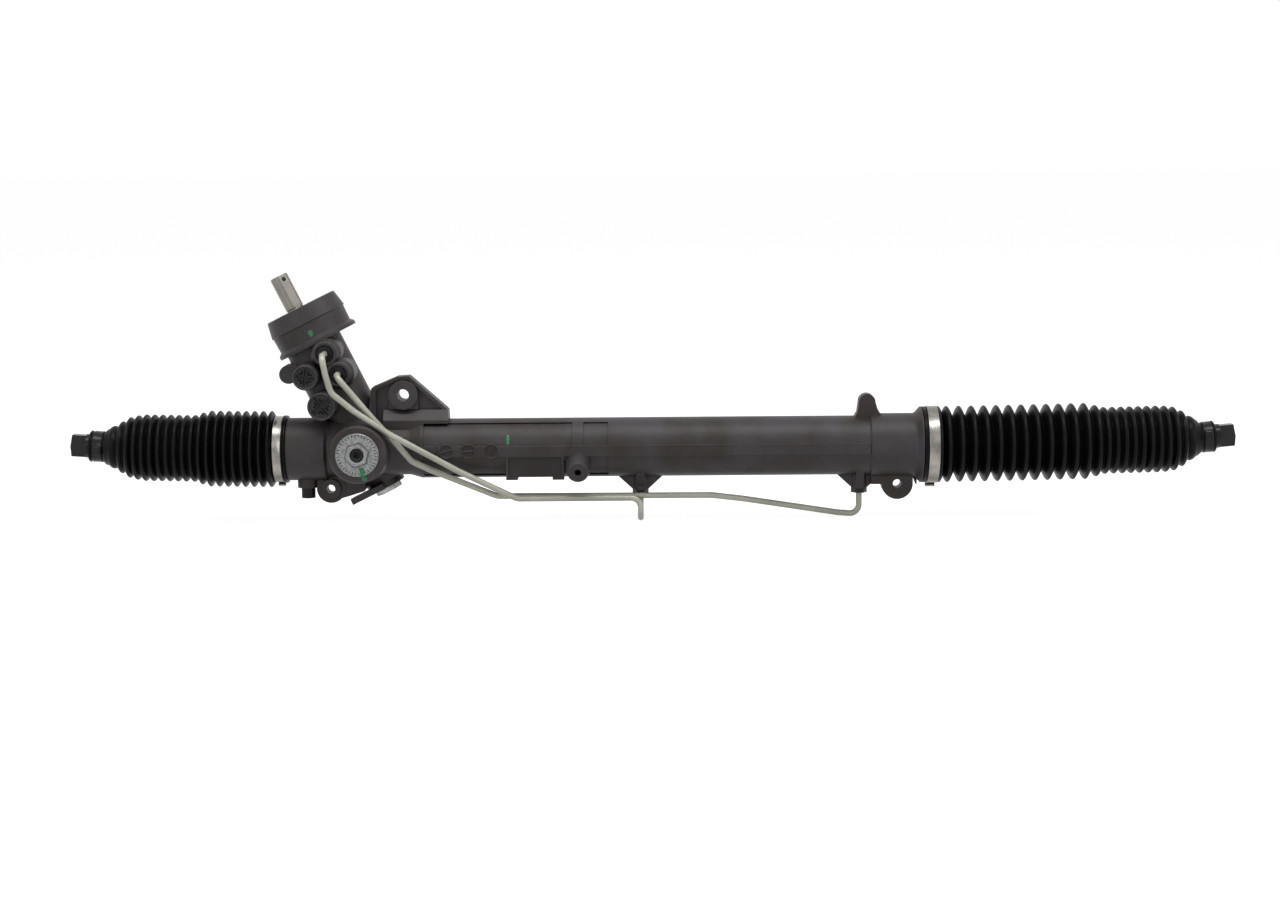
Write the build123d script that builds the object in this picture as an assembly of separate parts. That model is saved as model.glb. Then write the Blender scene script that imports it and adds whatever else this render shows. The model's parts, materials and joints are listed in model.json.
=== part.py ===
"""Hydraulic rack-and-pinion steering gear: a one-piece cast housing with its power cylinder, rack,
helical pinion, rotary valve, yoke, pipes, bellows and inner tie rods. Millimetres, Z up.

It is modelled with X along the rack, Y away from the yoke side and zero on the rack's axis below the
pinion. At the end everything shifts so that the origin lies in the upper mounting lug's bore.
"""
from build123d import *
from math import acos, atan2, cos, degrees, pi, radians, sin, sqrt, tan
import os

# Fits and clearances
RUNNING = 0.05          # radial gap of a turning or sliding fit
LOOSE = 0.3             # gap beside a part that moves past
STOP_GAP = 0.4          # what is left at a travel stop
YOKE_PLAY = 0.15        # gap behind the yoke, set with its adjuster

# Rack and travel
RACK_R = 13.0
TRAVEL = 63.0           # each way from straight ahead
RACK_FLAT = 10.6        # height of the toothed flat over the rack's axis

# Gear: a right-hand helical pinion on a leaning axis
LEAN = 26.4             # pinion axis from the vertical, to the left
TEETH = 8
MODULE = 1.85           # normal module
HELIX = 22.0
PRESSURE = 20.0
SHIFT = 0.4             # profile shift, in modules
BACKLASH = 0.12
TIP_R = 10.3
PINION_FACE = 36.0

# Cylinder and piston
CYLINDER_R = 22.0
RACK_BORE_R = 16.0
TUBE_R = 29.5
CYLINDER_START = 252.0
CYLINDER_LENGTH = 322.0 # to the housing's right end
BULKHEAD_LENGTH = 38.0
BULKHEAD_DEPTH = 74.0   # its inner face from the housing's right end
PISTON_WIDTH = 14.0
SEAL_WIDTH = 9.0
BACKUP_WIDTH = 10.0
RING_WIRE = 2.0

# Housing along the rack
LEFT_LENGTH = 101.6     # pinion to the housing's left end
LEFT_NECK_R = 27.0
LEFT_NECK_LENGTH = 10.0
LEFT_SEAT_R = 30.2      # where the left bellows sits
LEFT_SEAT_LENGTH = 25.6
LEFT_BODY_R = 31.3
LEFT_BODY_LENGTH = 38.0
GEAR_BODY_R = 28.0
WAIST_R = 26.3          # between the gear and the tube
RIGHT_BODY_R = 31.6
RIGHT_BODY_LENGTH = 49.5
RIGHT_FLANGE_R = 38.0
RIGHT_FLANGE = 6.0
RIGHT_SEAT_R = 34.5
RIGHT_SEAT_LENGTH = 19.0
RIGHT_REACH = 225.2     # right seat to the right ball joint

# Relief on the tube's front
PANEL_DEPTH = 1.1
PANELS = ((60.0, 207.5), (218.4, 243.1))
LOW_PANELS = ((60.0, 141.9), (224.5, 243.1))
PANEL_TOP = 26.2
BAND = (-5.8, 5.0)      # raised band, lower and upper edge
BAND_START = 74.0
BAND_FACE = 30.2
DATE_DISCS = (83.0, 104.9, 127.6)
DISC_R = (6.3, 7.6)
DISC_FACE = 31.0
LABEL = (141.9, 199.3)  # flat pad below the band
LABEL_FRAME = 3.2
LABEL_FACE = 27.6
LABEL_FOOT = 26.4
FEET = (11.5, 3.0)

# Valve tower, heights along the pinion axis
TOWER_R = 29.0
TOWER_TOP = 136.0
TOWER_FOOT = -44.6
FOOT_R = 19.0
FOOT_FLANGE = (-36.0, 6.0)
VALVE_BORE_R = 20.0
VALVE_FLOOR = 44.0
PINION_BORE_R = 16.0
LOWER_BEARING = (-38.5, -29.5)
LOWER_BEARING_R = (7.5, 16.0)
PLUG_BORE_R = 11.0
PINION_SEAL = (24.0, 31.0)
UPPER_NEEDLES = (32.0, 43.0)
SLEEVE = (70.0, 111.0)
GROOVES = (78.8, 90.7, 102.5)
SEAL_RINGS = (73.2, 84.8, 96.6, 108.4)
SPOOL_R = 13.0
INPUT_R = 9.1
PIN_HEIGHT = 186.5
PIN_TURN = -55.0        # pin and flat, turned about the shaft
PIN_R = 2.2
SHAFT_FLAT = 8.0
SHAFT_GROOVE = 0.6      # run-out of the flat, above the cover
INPUT_BEARING = (113.0, 125.0)
INPUT_SEAL = (126.0, 133.0)
COVER_OFFSET = 5.4      # cover's centre beside the pinion axis
COVER_RIM_R = 41.7
COVER_FOOT = 115.5
COVER_TOP = 154.5

# Yoke, heights towards the front from the rack's axis
YOKE_X = -2.0
YOKE_R = 19.0
YOKE_END = 40.0
LINER = 0.8
ADJUSTER_R = 21.4
ADJUSTER_FACE = 57.0
YOKE_BOSS_R = 29.5
YOKE_BOSS_FACE = 55.5

# Ports: place across the tower, height on it
PORT_1 = (12.0, 102.5)
PORT_2 = (14.3, 78.8)
HOSE_1 = (-14.5, 90.7)
HOSE_2 = (-13.4, 58.1)
PORT_FACE = 30.0        # front faces of the pipe ports before the rack's axis
HOSE_FACE = 36.0
MIDDLE_PORT_X = 274.9
CYLINDER_PORT_FACE = 43.0
PORT_BOSS_R = 11.6
PORT_LOBE_R = 15.3
PORT_RECESS_R = 9.0
PORT_RECESS = 4.0
CYLINDER_PORT_R = 8.0
GUSSET = (21.6, 4.0)
NUT_BORE_R = 5.6
NUT_BORE_DEPTH = 12.0
NUT_FLATS = 14.0
NUT_HEAD = 4.5
PASSAGE_R = 2.5
HOSE_BOSS_R = (12.6, 14.0)
HOSE_BORE_R = (8.0, 9.0)
HOSE_BORE_DEPTH = 15.0
PIPE_R = 3.0
PIPE_BORE_R = 2.0

# Lugs
LUG_BORE_R = 5.9
UPPER_LUG = (39.9, 54.5)
LUG_PAD_R = 14.5
LUG_FRONT = 14.0
LUG_WEB = 5.5
LUG_RIM = (9.0, 3.2)
LOW_LUG_BORE_R = 4.3
LEFT_LUG_DROP = 39.2
RIGHT_LUG_DROP = 38.2
LEFT_LUG_R = 14.5
LEFT_LUG_PAD_R = 9.8
RIGHT_LUG_R = 15.6
LOW_LUG_HALF = 7.0
LOW_PAD_FACE = 11.0
TOP_PAD_R = 8.3
TOP_PAD_Z = 51.8
TOP_PAD_HALF = 8.0
BRACKET_HOLE = (213.3, -46.0, -20.2)
BRACKET_DROOP = 18.0
BRACKET_BOSS_R = 10.6
BRACKET_THREAD_R = 3.4
BRACKET_DEPTH = 16.0
VENT_BOSS_R = 10.5
VENT_FACE = 38.5
TAB_R = 9.3
TAB_HEIGHT = 100.2
TAB_REACH = 34.0

# Ball joints and tie rods
BALL_R = 13.0
SEAT_WALL = 2.0
SOCKET_R = 19.0
SOCKET_MOUTH = 57.0     # angle of the mouth's edge from the rod's axis
SOCKET_LENGTH = 40.0    # ball centre to the rack's end
STUD_R = 8.0
STUD_LENGTH = 20.0
ROD_R = 8.0
ROD_SEAT_R = 12.0
ROD_SEAT = (50.0, 73.0)
ROD_LENGTH = 87.0
HEX_FLATS = 21.5
ROD_THREAD_R = 7.0
ROD_THREAD_DEPTH = 30.0
LEFT_TILT = 3.82        # tie rods rise outwards
RIGHT_TILT = 5.08

# Bellows
LEFT_RIDGES = 20
RIGHT_RIDGES = 24
LARGE_FOLD_R = 38.0
SMALL_FOLD_R = 33.4
FOLD_DEPTH = 5.0
GAITER_WALL = 1.6
LEFT_FOLDS = (17.0, 85.8)       # seat to the first large fold and to the step in radius
RIGHT_FOLDS = (25.8, 174.7)
LEFT_PITCHES = (8.6, 8.07)      # large folds, small folds
RIGHT_PITCHES = (12.5, 8.62)
LEFT_LAST_FOLD = 45.57          # past the ball joint
RIGHT_LAST_FOLD = 44.32
LEFT_COLLAR = (16.3, 18.0)      # seat to the collar's inner step and to its end
RIGHT_COLLAR = (19.0, 24.0)
CLAMP_WALL = 0.8

HOUSING_START = -LEFT_LENGTH
HOUSING_END = CYLINDER_START + CYLINDER_LENGTH
BULKHEAD_START = HOUSING_END - BULKHEAD_DEPTH
LEFT_SEAT_END = HOUSING_START + LEFT_SEAT_LENGTH
RIGHT_SEAT_X = HOUSING_END - RIGHT_SEAT_LENGTH
RIGHT_FLANGE_X = RIGHT_SEAT_X - RIGHT_FLANGE
RIGHT_BODY_X = RIGHT_SEAT_X - RIGHT_BODY_LENGTH
STEP_X = LEFT_SEAT_END + LEFT_BODY_LENGTH
RACK_LEFT = HOUSING_START - TRAVEL - STOP_GAP
LEFT_BALL_X = RACK_LEFT - SOCKET_LENGTH
RIGHT_BALL_X = RIGHT_SEAT_X + RIGHT_REACH
RACK_RIGHT = RIGHT_BALL_X - SOCKET_LENGTH
VENT_X = LEFT_SEAT_END + 18.4
LEFT_LUG = (LEFT_SEAT_END + 42.1, -LEFT_LUG_DROP)
RIGHT_LUG = (RIGHT_SEAT_X - 24.1, -RIGHT_LUG_DROP)
TOP_PAD_X = RIGHT_SEAT_X - 54.2
RIGHT_PORT_X = RIGHT_SEAT_X - 61.6
INPUT_TOP = PIN_HEIGHT + 2 * PIN_R + 0.6
PITCH_R = TEETH * MODULE / cos(radians(HELIX)) / 2
RACK_PITCH = pi * MODULE / cos(radians(LEAN - HELIX))
ADDENDUM = 0.9 * MODULE
DEDENDUM = 1.25 * MODULE
REFERENCE_Y = RACK_FLAT - ADDENDUM
PINION_Y = REFERENCE_Y + PITCH_R + SHIFT * MODULE
BACKUP_END = CYLINDER_START + SEAL_WIDTH + BACKUP_WIDTH
PISTON_X = BACKUP_END + STOP_GAP + TRAVEL + PISTON_WIDTH / 2
ROOT_R = PITCH_R + SHIFT * MODULE - DEDENDUM

RACK = Rot(0, 90, 0)
TOWER = Pos(0, PINION_Y, 0) * Rot(0, -LEAN, 0)
YOKE = Pos(YOKE_X, 0, 0) * Rot(90, 0, 0)
LEFT_SOCKET = Pos(LEFT_BALL_X, 0, 0) * Rot(0, 90, 0)
RIGHT_SOCKET = Pos(RIGHT_BALL_X, 0, 0) * Rot(0, -90, 0)
LEFT_ROD = Pos(LEFT_BALL_X, 0, 0) * Rot(0, LEFT_TILT - 90, 0)
RIGHT_ROD = Pos(RIGHT_BALL_X, 0, 0) * Rot(0, 90 - RIGHT_TILT, 0)
DOWN = Rot(180, 0, 0)
BRACKET = Pos(*BRACKET_HOLE) * Rot(90 + BRACKET_DROOP, 0, 0)
COVER = TOWER * Pos(COVER_OFFSET, 0, 0)
SHAFT_PIN = TOWER * Pos(0, 0, PIN_HEIGHT) * Rot(0, 0, PIN_TURN) * Rot(0, 90, 0)


def rod(frame, radius, start, end):
    """Cylinder along the frame's Z from start to end."""
    return frame * Pos(0, 0, (start + end) / 2) * Cylinder(radius, abs(end - start))


def ring(frame, outer, inner, start, end):
    return rod(frame, outer, start, end) - rod(frame, inner, start, end)


def turned(frame, *outline):
    """Solid of revolution about the frame's Z, from points of radius and height."""
    face = make_face(Polyline(*[(r, 0, z) for r, z in outline], close=True))
    return frame * revolve(face, Axis.Z)


def hexagon(frame, flats, start, end):
    profile = RegularPolygon(flats / 2, 6, major_radius=False)
    return frame * Pos(0, 0, start) * extrude(profile, end - start)


def facing(x, z, y=0):
    """Frame at x, z whose Z axis points to the front."""
    return Pos(x, y, z) * Rot(90, 0, 0)


def on_tower(place):
    """Frame of a port on the tower, Z to the front, zero in the rack's plane."""
    across, height = place
    lean = radians(LEAN)
    x = across * cos(lean) - height * sin(lean)
    z = across * sin(lean) + height * cos(lean)
    return facing(x, z)


def pipe_frame(place):
    spot = on_tower(place).position
    return spot.X, spot.Z


# Housing

def lug_plate(points, half, radius=4.0):
    """Plate across Y with a rounded outline."""
    line = FilletPolyline(*[(x, z) for x, z in points], radius=radius, close=True)
    face = Plane.XZ * make_face(line)
    return extrude(face, half, both=True)


def block(x, y, z):
    """Box from three pairs of limits."""
    sizes = [high - low for low, high in (x, y, z)]
    middle = [(low + high) / 2 for low, high in (x, y, z)]
    return Pos(*middle) * Box(*sizes)


def housing_outside():
    neck_end = HOUSING_START + LEFT_NECK_LENGTH
    body = turned(
        RACK,
        (0, HOUSING_START), (LEFT_NECK_R - 1, HOUSING_START), (LEFT_NECK_R, HOUSING_START + 1),
        (LEFT_NECK_R, neck_end), (LEFT_SEAT_R, neck_end + 1), (LEFT_SEAT_R, LEFT_SEAT_END),
        (LEFT_BODY_R, LEFT_SEAT_END), (LEFT_BODY_R, STEP_X), (GEAR_BODY_R, STEP_X + 2.5), (GEAR_BODY_R, 0),
        (WAIST_R, 30), (WAIST_R, 46), (TUBE_R, 57), (TUBE_R, RIGHT_BODY_X - 3), (RIGHT_BODY_R, RIGHT_BODY_X - 1),
        (RIGHT_BODY_R, RIGHT_FLANGE_X - 2), (RIGHT_BODY_R + 1, RIGHT_FLANGE_X),
        (RIGHT_FLANGE_R, RIGHT_SEAT_X - 1), (RIGHT_FLANGE_R, RIGHT_SEAT_X), (RIGHT_SEAT_R, RIGHT_SEAT_X),
        (RIGHT_SEAT_R, HOUSING_END), (0, HOUSING_END),
    )
    body += turned(
        TOWER,
        (0, TOWER_FOOT), (FOOT_R, TOWER_FOOT), (FOOT_R, TOWER_FOOT + 6), (TOWER_R, TOWER_FOOT + 20),
        (TOWER_R, TOWER_TOP), (0, TOWER_TOP),
    )
    body += turned(
        YOKE,
        (0, 0), (YOKE_BOSS_R + 2, 0), (YOKE_BOSS_R + 2, 18), (YOKE_BOSS_R, 26),
        (YOKE_BOSS_R - 0.8, YOKE_BOSS_FACE - 2), (YOKE_BOSS_R - 2.6, YOKE_BOSS_FACE), (0, YOKE_BOSS_FACE),
    )
    reach, thickness = FOOT_FLANGE
    body += TOWER * block((reach, 0), (-PINION_Y - 8, -PINION_Y + 6), (TOWER_FOOT, TOWER_FOOT + thickness))
    body += turned(BRACKET, (0, -24), (BRACKET_BOSS_R + 2.5, -24), (BRACKET_BOSS_R + 1.2, -12),
                   (BRACKET_BOSS_R, -1), (BRACKET_BOSS_R - 1, 0), (0, 0))
    body += turned(Pos(VENT_X, 0, 0) * DOWN, (0, 20), (VENT_BOSS_R, 20), (VENT_BOSS_R, VENT_FACE), (0, VENT_FACE))
    tab = on_tower((-TAB_REACH, TAB_HEIGHT))
    body += rod(tab, TAB_R, -26, 0)
    body += TOWER * block((-TAB_REACH, 0), (-PINION_Y, -PINION_Y + 26), (TAB_HEIGHT - TAB_R, TAB_HEIGHT + TAB_R - 2))
    return body + upper_lug() + lower_lugs() + top_pad() + port_bosses()


def upper_lug():
    """Ribbed plate with the main mounting boss, on a base that slopes down to the tube."""
    x, z = UPPER_LUG
    outline = [(4, 30), (x - 32, z + 7), (x - 6, z + 18), (x + 6, z + 18.7), (x + 44, z - 15), (x + 44, 20), (20, 20)]
    rim_half, rim = LUG_RIM
    inner = [(12, 30), (x - 27.5, z + 5), (x - 5, z + 14.4), (x + 4.6, z + 15), (x + 39, z - 15.5), (x + 39, 22), (20, 22)]
    plate = lug_plate(outline, rim_half)
    pocket = lug_plate(inner, rim_half + 1, 3)
    lug = plate - pocket + lug_plate(outline, LUG_WEB)
    lug += rod(facing(x, z), LUG_PAD_R, -LUG_FRONT, LUG_FRONT)
    lug += block((x - LUG_PAD_R, x + LUG_PAD_R), (-rim_half - 1, rim_half + 1), (z - LUG_PAD_R, z))
    slope = make_face(Polyline((-rim_half, z - 15), (-17, z - 25), (-17, 10), (17, 10), (17, z - 25), (rim_half, z - 15),
                               close=True))
    return [lug, Pos(x - 20, 0, 0) * extrude(Plane.YZ * slope, 64.3)]


def lower_lugs():
    x, z = LEFT_LUG
    solids = [rod(facing(x, z), LEFT_LUG_R, -LOW_LUG_HALF, LOW_LUG_HALF)]
    solids.append(rod(facing(x, z), LEFT_LUG_PAD_R, -LOW_LUG_HALF, LOW_PAD_FACE))
    solids.append(lug_plate([(x - 14.4, -20), (x - 14.4, z - 2), (x - 4, z - 14), (x + 19, -46.8), (0, -42), (0, -20)],
                            LOW_LUG_HALF - 1, 2))
    x, z = RIGHT_LUG
    half = LOW_LUG_HALF + 2
    solids.append(rod(facing(x, z), RIGHT_LUG_R, -half, half))
    solids.append(block((x - RIGHT_LUG_R, x + RIGHT_LUG_R), (-half, half), (z, 0)))
    solids.append(block((x - 26, x - RIGHT_LUG_R), (-half, half), (z - 0.4, 0)))
    fin = [(x + 12, -20), (x + 16.4, -32), (x + 19.9, z - 3.8), (x + 19.9, -20)]
    solids.append(lug_plate(fin, 5, 0.5))
    return solids


def top_pad():
    x, z = TOP_PAD_X, TOP_PAD_Z - TOP_PAD_R
    foot = [(x - 15, 24), (x - 9.6, 33.5), (x - TOP_PAD_R, z), (x + TOP_PAD_R, z), (x + 10.4, 36.5), (x + 18, 24)]
    return [rod(facing(x, z), TOP_PAD_R, -TOP_PAD_HALF, TOP_PAD_HALF), lug_plate(foot, TOP_PAD_HALF, 1.5)]


def port_bosses():
    bosses = []
    for place in (PORT_1, PORT_2):
        bosses.append(turned(on_tower(place), (0, -10), (PORT_LOBE_R, -10), (PORT_LOBE_R, PORT_FACE - 10),
                             (PORT_BOSS_R + 0.8, PORT_FACE - 4), (PORT_BOSS_R + 0.8, PORT_FACE - 1),
                             (PORT_BOSS_R - 0.2, PORT_FACE), (0, PORT_FACE)))
    for place, radius in zip((HOSE_1, HOSE_2), HOSE_BOSS_R):
        bosses.append(rod(on_tower(place), radius, -10, HOSE_FACE))
    reach, half = GUSSET
    for x in (MIDDLE_PORT_X, RIGHT_PORT_X):
        face = -CYLINDER_PORT_FACE
        bosses.append(rod(Pos(x, 0, 0) * DOWN, CYLINDER_PORT_R, 20, CYLINDER_PORT_FACE))
        across = [(x - reach - 6, -24), (x - CYLINDER_PORT_R, face + 1), (x + CYLINDER_PORT_R, face + 1),
                  (x + reach + 6, -24)]
        bosses.append(lug_plate(across, half, 1))
        along = make_face(Polyline((-20, -18), (-CYLINDER_PORT_R, face + 4), (CYLINDER_PORT_R, face + 4), (20, -18),
                                   close=True))
        bosses.append(Pos(x, 0, 0) * extrude(Plane.YZ * along, half, both=True))
    return bosses


def relief():
    """Raised band, date discs and label pad on the tube's front."""
    low, high = BAND
    end = RIGHT_BODY_X - 3
    solids = [block((BAND_START, end), (-BAND_FACE, -TUBE_R + 6), (low, high))]
    middle = (low + high) / 2
    for i, x in enumerate(DATE_DISCS):
        frame = facing(x, middle + 0.4)
        disc = rod(frame, DISC_R[1], TUBE_R - 5, DISC_FACE) - rod(frame, DISC_R[0], DISC_FACE - 0.9, DISC_FACE + 1)
        slot = Rot(0, 0, 15 + 30 * i * i) * Pos(0, 0, DISC_FACE - 0.9) * Box(2 * DISC_R[0], 1.5, 1.2)
        solids.append(disc - frame * slot)
    left, right = LABEL
    pad = block((left, right), (-LABEL_FACE, 0), (-LABEL_FOOT, low + 1))
    inside = (left + LABEL_FRAME, right - LABEL_FRAME)
    solids.append(pad - block(inside, (-LABEL_FACE - 1, -LABEL_FACE + 1.3), (-LABEL_FOOT - 1, low - 0.6)))
    width, drop = FEET
    for start in (left, right - width):
        solids.append(block((start, start + width), (-LABEL_FACE, -10), (-LABEL_FOOT - drop, -20)))
    return solids


def panels():
    """Shallow panels cut into the front of the tube, above and below the band."""
    skin = TUBE_R - PANEL_DEPTH
    cuts = []
    for start, end in PANELS:
        cuts.append(ring(RACK, TUBE_R + 4, skin, start, end) & block((start, end), (-40, 0), (BAND[1], PANEL_TOP)))
    for start, end in LOW_PANELS:
        cuts.append(ring(RACK, TUBE_R + 4, skin, start, end) & block((start, end), (-40, 0), (-PANEL_TOP, BAND[0])))
    return cuts


def housing_bores():
    end = BULKHEAD_START + BULKHEAD_LENGTH
    bores = [
        rod(RACK, RACK_BORE_R, HOUSING_START - 1, CYLINDER_START + 1),
        rod(RACK, CYLINDER_R, CYLINDER_START, HOUSING_END + 1),
        rod(RACK, CYLINDER_R + 1.2, end, end + RING_WIRE),
        rod(TOWER, PINION_BORE_R, LOWER_BEARING[0], VALVE_FLOOR + 1),
        rod(TOWER, VALVE_BORE_R, VALVE_FLOOR, TOWER_TOP + 1),
        rod(TOWER, VALVE_BORE_R + 1.2, INPUT_SEAL[1], INPUT_SEAL[1] + 1.5),
        rod(TOWER, PLUG_BORE_R, TOWER_FOOT - 1, LOWER_BEARING[0] + 1),
        rod(YOKE, YOKE_R, 0, YOKE_END),
        rod(YOKE, ADJUSTER_R, YOKE_END - 2, YOKE_BOSS_FACE + 5),
    ]
    x, z = UPPER_LUG
    bores.append(rod(facing(x, z), LUG_BORE_R, -40, 40))
    for x, z in (LEFT_LUG, RIGHT_LUG):
        bores.append(rod(facing(x, z), LOW_LUG_BORE_R, -40, 40))
    bores.append(rod(BRACKET, BRACKET_THREAD_R, -BRACKET_DEPTH, 1))
    nut_floor = PORT_FACE - PORT_RECESS - NUT_BORE_DEPTH
    for place in (PORT_1, PORT_2):
        bores.append(rod(on_tower(place), PASSAGE_R, -5, PORT_FACE))
        bores.append(rod(on_tower(place), NUT_BORE_R, nut_floor, PORT_FACE + 1))
        bores.append(rod(on_tower(place), PORT_RECESS_R, PORT_FACE - PORT_RECESS, PORT_FACE + 1))
    for place, radius in zip((HOSE_1, HOSE_2), HOSE_BORE_R):
        bores.append(rod(on_tower(place), PASSAGE_R + 1, -5, HOSE_FACE))
        bores.append(rod(on_tower(place), radius, HOSE_FACE - HOSE_BORE_DEPTH, HOSE_FACE + 1))
    for x in (MIDDLE_PORT_X, RIGHT_PORT_X):
        frame = Pos(x, 0, 0) * DOWN
        bores.append(rod(frame, PASSAGE_R, CYLINDER_R - 2, CYLINDER_PORT_FACE))
        bores.append(rod(frame, NUT_BORE_R, CYLINDER_PORT_FACE - NUT_BORE_DEPTH, CYLINDER_PORT_FACE + 1))
    bores.append(rod(Pos(VENT_X, 0, 0) * DOWN, 3.0, RACK_BORE_R - 2, VENT_FACE + 1))
    return bores


def rack_housing():
    outside = housing_outside() - panels() + relief()
    cover = rod(COVER, COVER_RIM_R + 1, COVER_FOOT, COVER_TOP) - rod(TOWER, TOWER_R, COVER_FOOT - 1, COVER_TOP + 1)
    return outside - cover - housing_bores()


# Rack and pinion gear

def rack_bar():
    bar = rod(RACK, RACK_R, RACK_LEFT, RACK_RIGHT)
    reach = TRAVEL + PINION_FACE / 2 * sin(radians(LEAN)) + TIP_R + 3
    bar -= Pos(0, RACK_FLAT + 10, 0) * Box(2 * reach, 20, 4 * RACK_R)
    slope = tan(radians(PRESSURE))
    middle = pi * MODULE / 4
    top = middle + (ADDENDUM + 1) * slope
    bottom = middle - DEDENDUM * slope
    outline = Polyline(
        (-top, REFERENCE_Y + ADDENDUM + 1), (top, REFERENCE_Y + ADDENDUM + 1),
        (bottom, REFERENCE_Y - DEDENDUM), (-bottom, REFERENCE_Y - DEDENDUM), close=True,
    )
    groove = Rot(0, HELIX - LEAN, 0) * extrude(make_face(outline), 2 * RACK_R, both=True)
    count = int((reach - 4) / RACK_PITCH)
    bar -= [Pos(i * RACK_PITCH, 0, 0) * groove for i in range(-count, count + 1)]
    for frame in (LEFT_SOCKET, RIGHT_SOCKET):
        bar -= rod(frame, STUD_R, SOCKET_LENGTH - 1, SOCKET_LENGTH + STUD_LENGTH + 2)
    for side in (-1, 1):
        edge = PISTON_X + side * (PISTON_WIDTH / 2 + RING_WIRE / 2)
        bar -= ring(RACK, RACK_R + 1, RACK_R - RING_WIRE / 2, edge - RING_WIRE / 2, edge + RING_WIRE / 2)
    return bar


def involute(angle):
    return tan(angle) - angle


def pinion_outline():
    """Closed outline of the transverse section, with one tooth towards the rack at height zero."""
    transverse = atan2(tan(radians(PRESSURE)), cos(radians(HELIX)))
    base = PITCH_R * cos(transverse)
    thickness = PITCH_R * 2 * pi / TEETH / 2 + 2 * SHIFT * MODULE * tan(transverse) - BACKLASH
    at_base = thickness / (2 * PITCH_R) + involute(transverse)
    flank = [(ROOT_R, at_base + 0.04), (base, at_base)]
    for radius in (base + 0.4 * (TIP_R - base), TIP_R):
        flank.append((radius, at_base - involute(acos(base / radius))))
    points = []
    for tooth in range(TEETH):
        centre = -pi / 2 + tooth * 2 * pi / TEETH
        for radius, half in flank:
            points.append((radius * cos(centre - half), radius * sin(centre - half)))
        for radius, half in reversed(flank):
            points.append((radius * cos(centre + half), radius * sin(centre + half)))
    return points


def pinion():
    """Helical teeth, turned ends and the head that carries the valve sleeve."""
    half = PINION_FACE / 2
    twist = degrees(half * tan(radians(HELIX)) / PITCH_R)
    outline = Wire.make_polygon([Vector(x, y, 0) for x, y in pinion_outline()], close=True)
    outline = Pos(0, 0, -half) * Rot(0, 0, -twist) * outline
    teeth = Solid.extrude_linear_with_rotation(outline, (0, 0, -half), (0, 0, 2 * half), 2 * twist)
    bearing_r = LOWER_BEARING_R[0]
    shaft = turned(
        Pos(0, 0, 0),
        (0, LOWER_BEARING[0] - 7.5), (5.0, LOWER_BEARING[0] - 7.5), (5.0, LOWER_BEARING[0]),
        (bearing_r, LOWER_BEARING[0]), (bearing_r, LOWER_BEARING[1]), (9.4, LOWER_BEARING[1]),
        (9.4, -half - 1), (ROOT_R, -half - 1), (ROOT_R, half + 1), (9.0, half + 2),
        (9.0, UPPER_NEEDLES[0] - 0.5), (11.0, UPPER_NEEDLES[0] - 0.5), (11.0, VALVE_FLOOR + 1),
        (17.0, VALVE_FLOOR + 2), (17.0, VALVE_FLOOR + 6), (SPOOL_R, VALVE_FLOOR + 7),
        (SPOOL_R, SLEEVE[0] + 8), (0, SLEEVE[0] + 8),
    )
    shaft -= rod(Pos(0, 0, 0), 4.0, 30, SLEEVE[0] + 9)
    shaft -= rod(Pos(0, 0, 0), 9.0, 56, SLEEVE[0] + 9)
    return TOWER * (shaft + teeth)


def valve_sleeve():
    sleeve = ring(TOWER, VALVE_BORE_R - RUNNING, SPOOL_R, *SLEEVE)
    sleeve -= ring(TOWER, SPOOL_R + RUNNING, SPOOL_R - 1, SLEEVE[0] + 8, SLEEVE[1] + 1)
    for height in GROOVES:
        sleeve -= ring(TOWER, VALVE_BORE_R + 1, VALVE_BORE_R - 2, height - 3, height + 3)
    for height in SEAL_RINGS:
        sleeve -= ring(TOWER, VALVE_BORE_R + 1, VALVE_BORE_R - 1.5, height - 1, height + 1)
    return sleeve


def valve_seal_rings():
    return [ring(TOWER, VALVE_BORE_R - RUNNING / 2, VALVE_BORE_R - 1.5, h - 1, h + 1) for h in SEAL_RINGS]


def input_shaft():
    shaft = turned(
        TOWER,
        (0, SLEEVE[0] + 8.5), (SPOOL_R, SLEEVE[0] + 8.5), (SPOOL_R, INPUT_BEARING[0] - 1), (11.0, INPUT_BEARING[0]),
        (11.0, INPUT_SEAL[1] + 1), (INPUT_R, INPUT_SEAL[1] + 2), (INPUT_R, COVER_TOP + 0.6),
        (INPUT_R - SHAFT_GROOVE, COVER_TOP + 0.6), (INPUT_R - SHAFT_GROOVE, COVER_TOP + 1.8),
        (INPUT_R, COVER_TOP + 1.8), (INPUT_R, INPUT_TOP - 1), (INPUT_R - 1, INPUT_TOP), (0, INPUT_TOP),
    )
    shaft -= rod(TOWER, 4.0, 60, INPUT_TOP + 1)
    shaft -= rod(TOWER, 5.0, 60, INPUT_TOP - 25)
    shaft -= rod(SHAFT_PIN, PIN_R, -20, 20)
    flat = block((SHAFT_FLAT, SHAFT_FLAT + 10), (-20, 20), (COVER_TOP + 1, INPUT_TOP + 1))
    shaft -= TOWER * Rot(0, 0, PIN_TURN) * flat
    return shaft + ring(TOWER, 8.5, 5.0, 57, SLEEVE[0] + 9)


def torsion_bar():
    bar = turned(
        TOWER,
        (0, 31), (4.0 - RUNNING, 31), (4.0 - RUNNING, 54), (2.9, 60), (2.9, INPUT_TOP - 30), (4.0, INPUT_TOP - 22),
        (4.0, INPUT_TOP - 2), (0, INPUT_TOP - 2),
    )
    return bar - rod(SHAFT_PIN, PIN_R, -20, 20)


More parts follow.
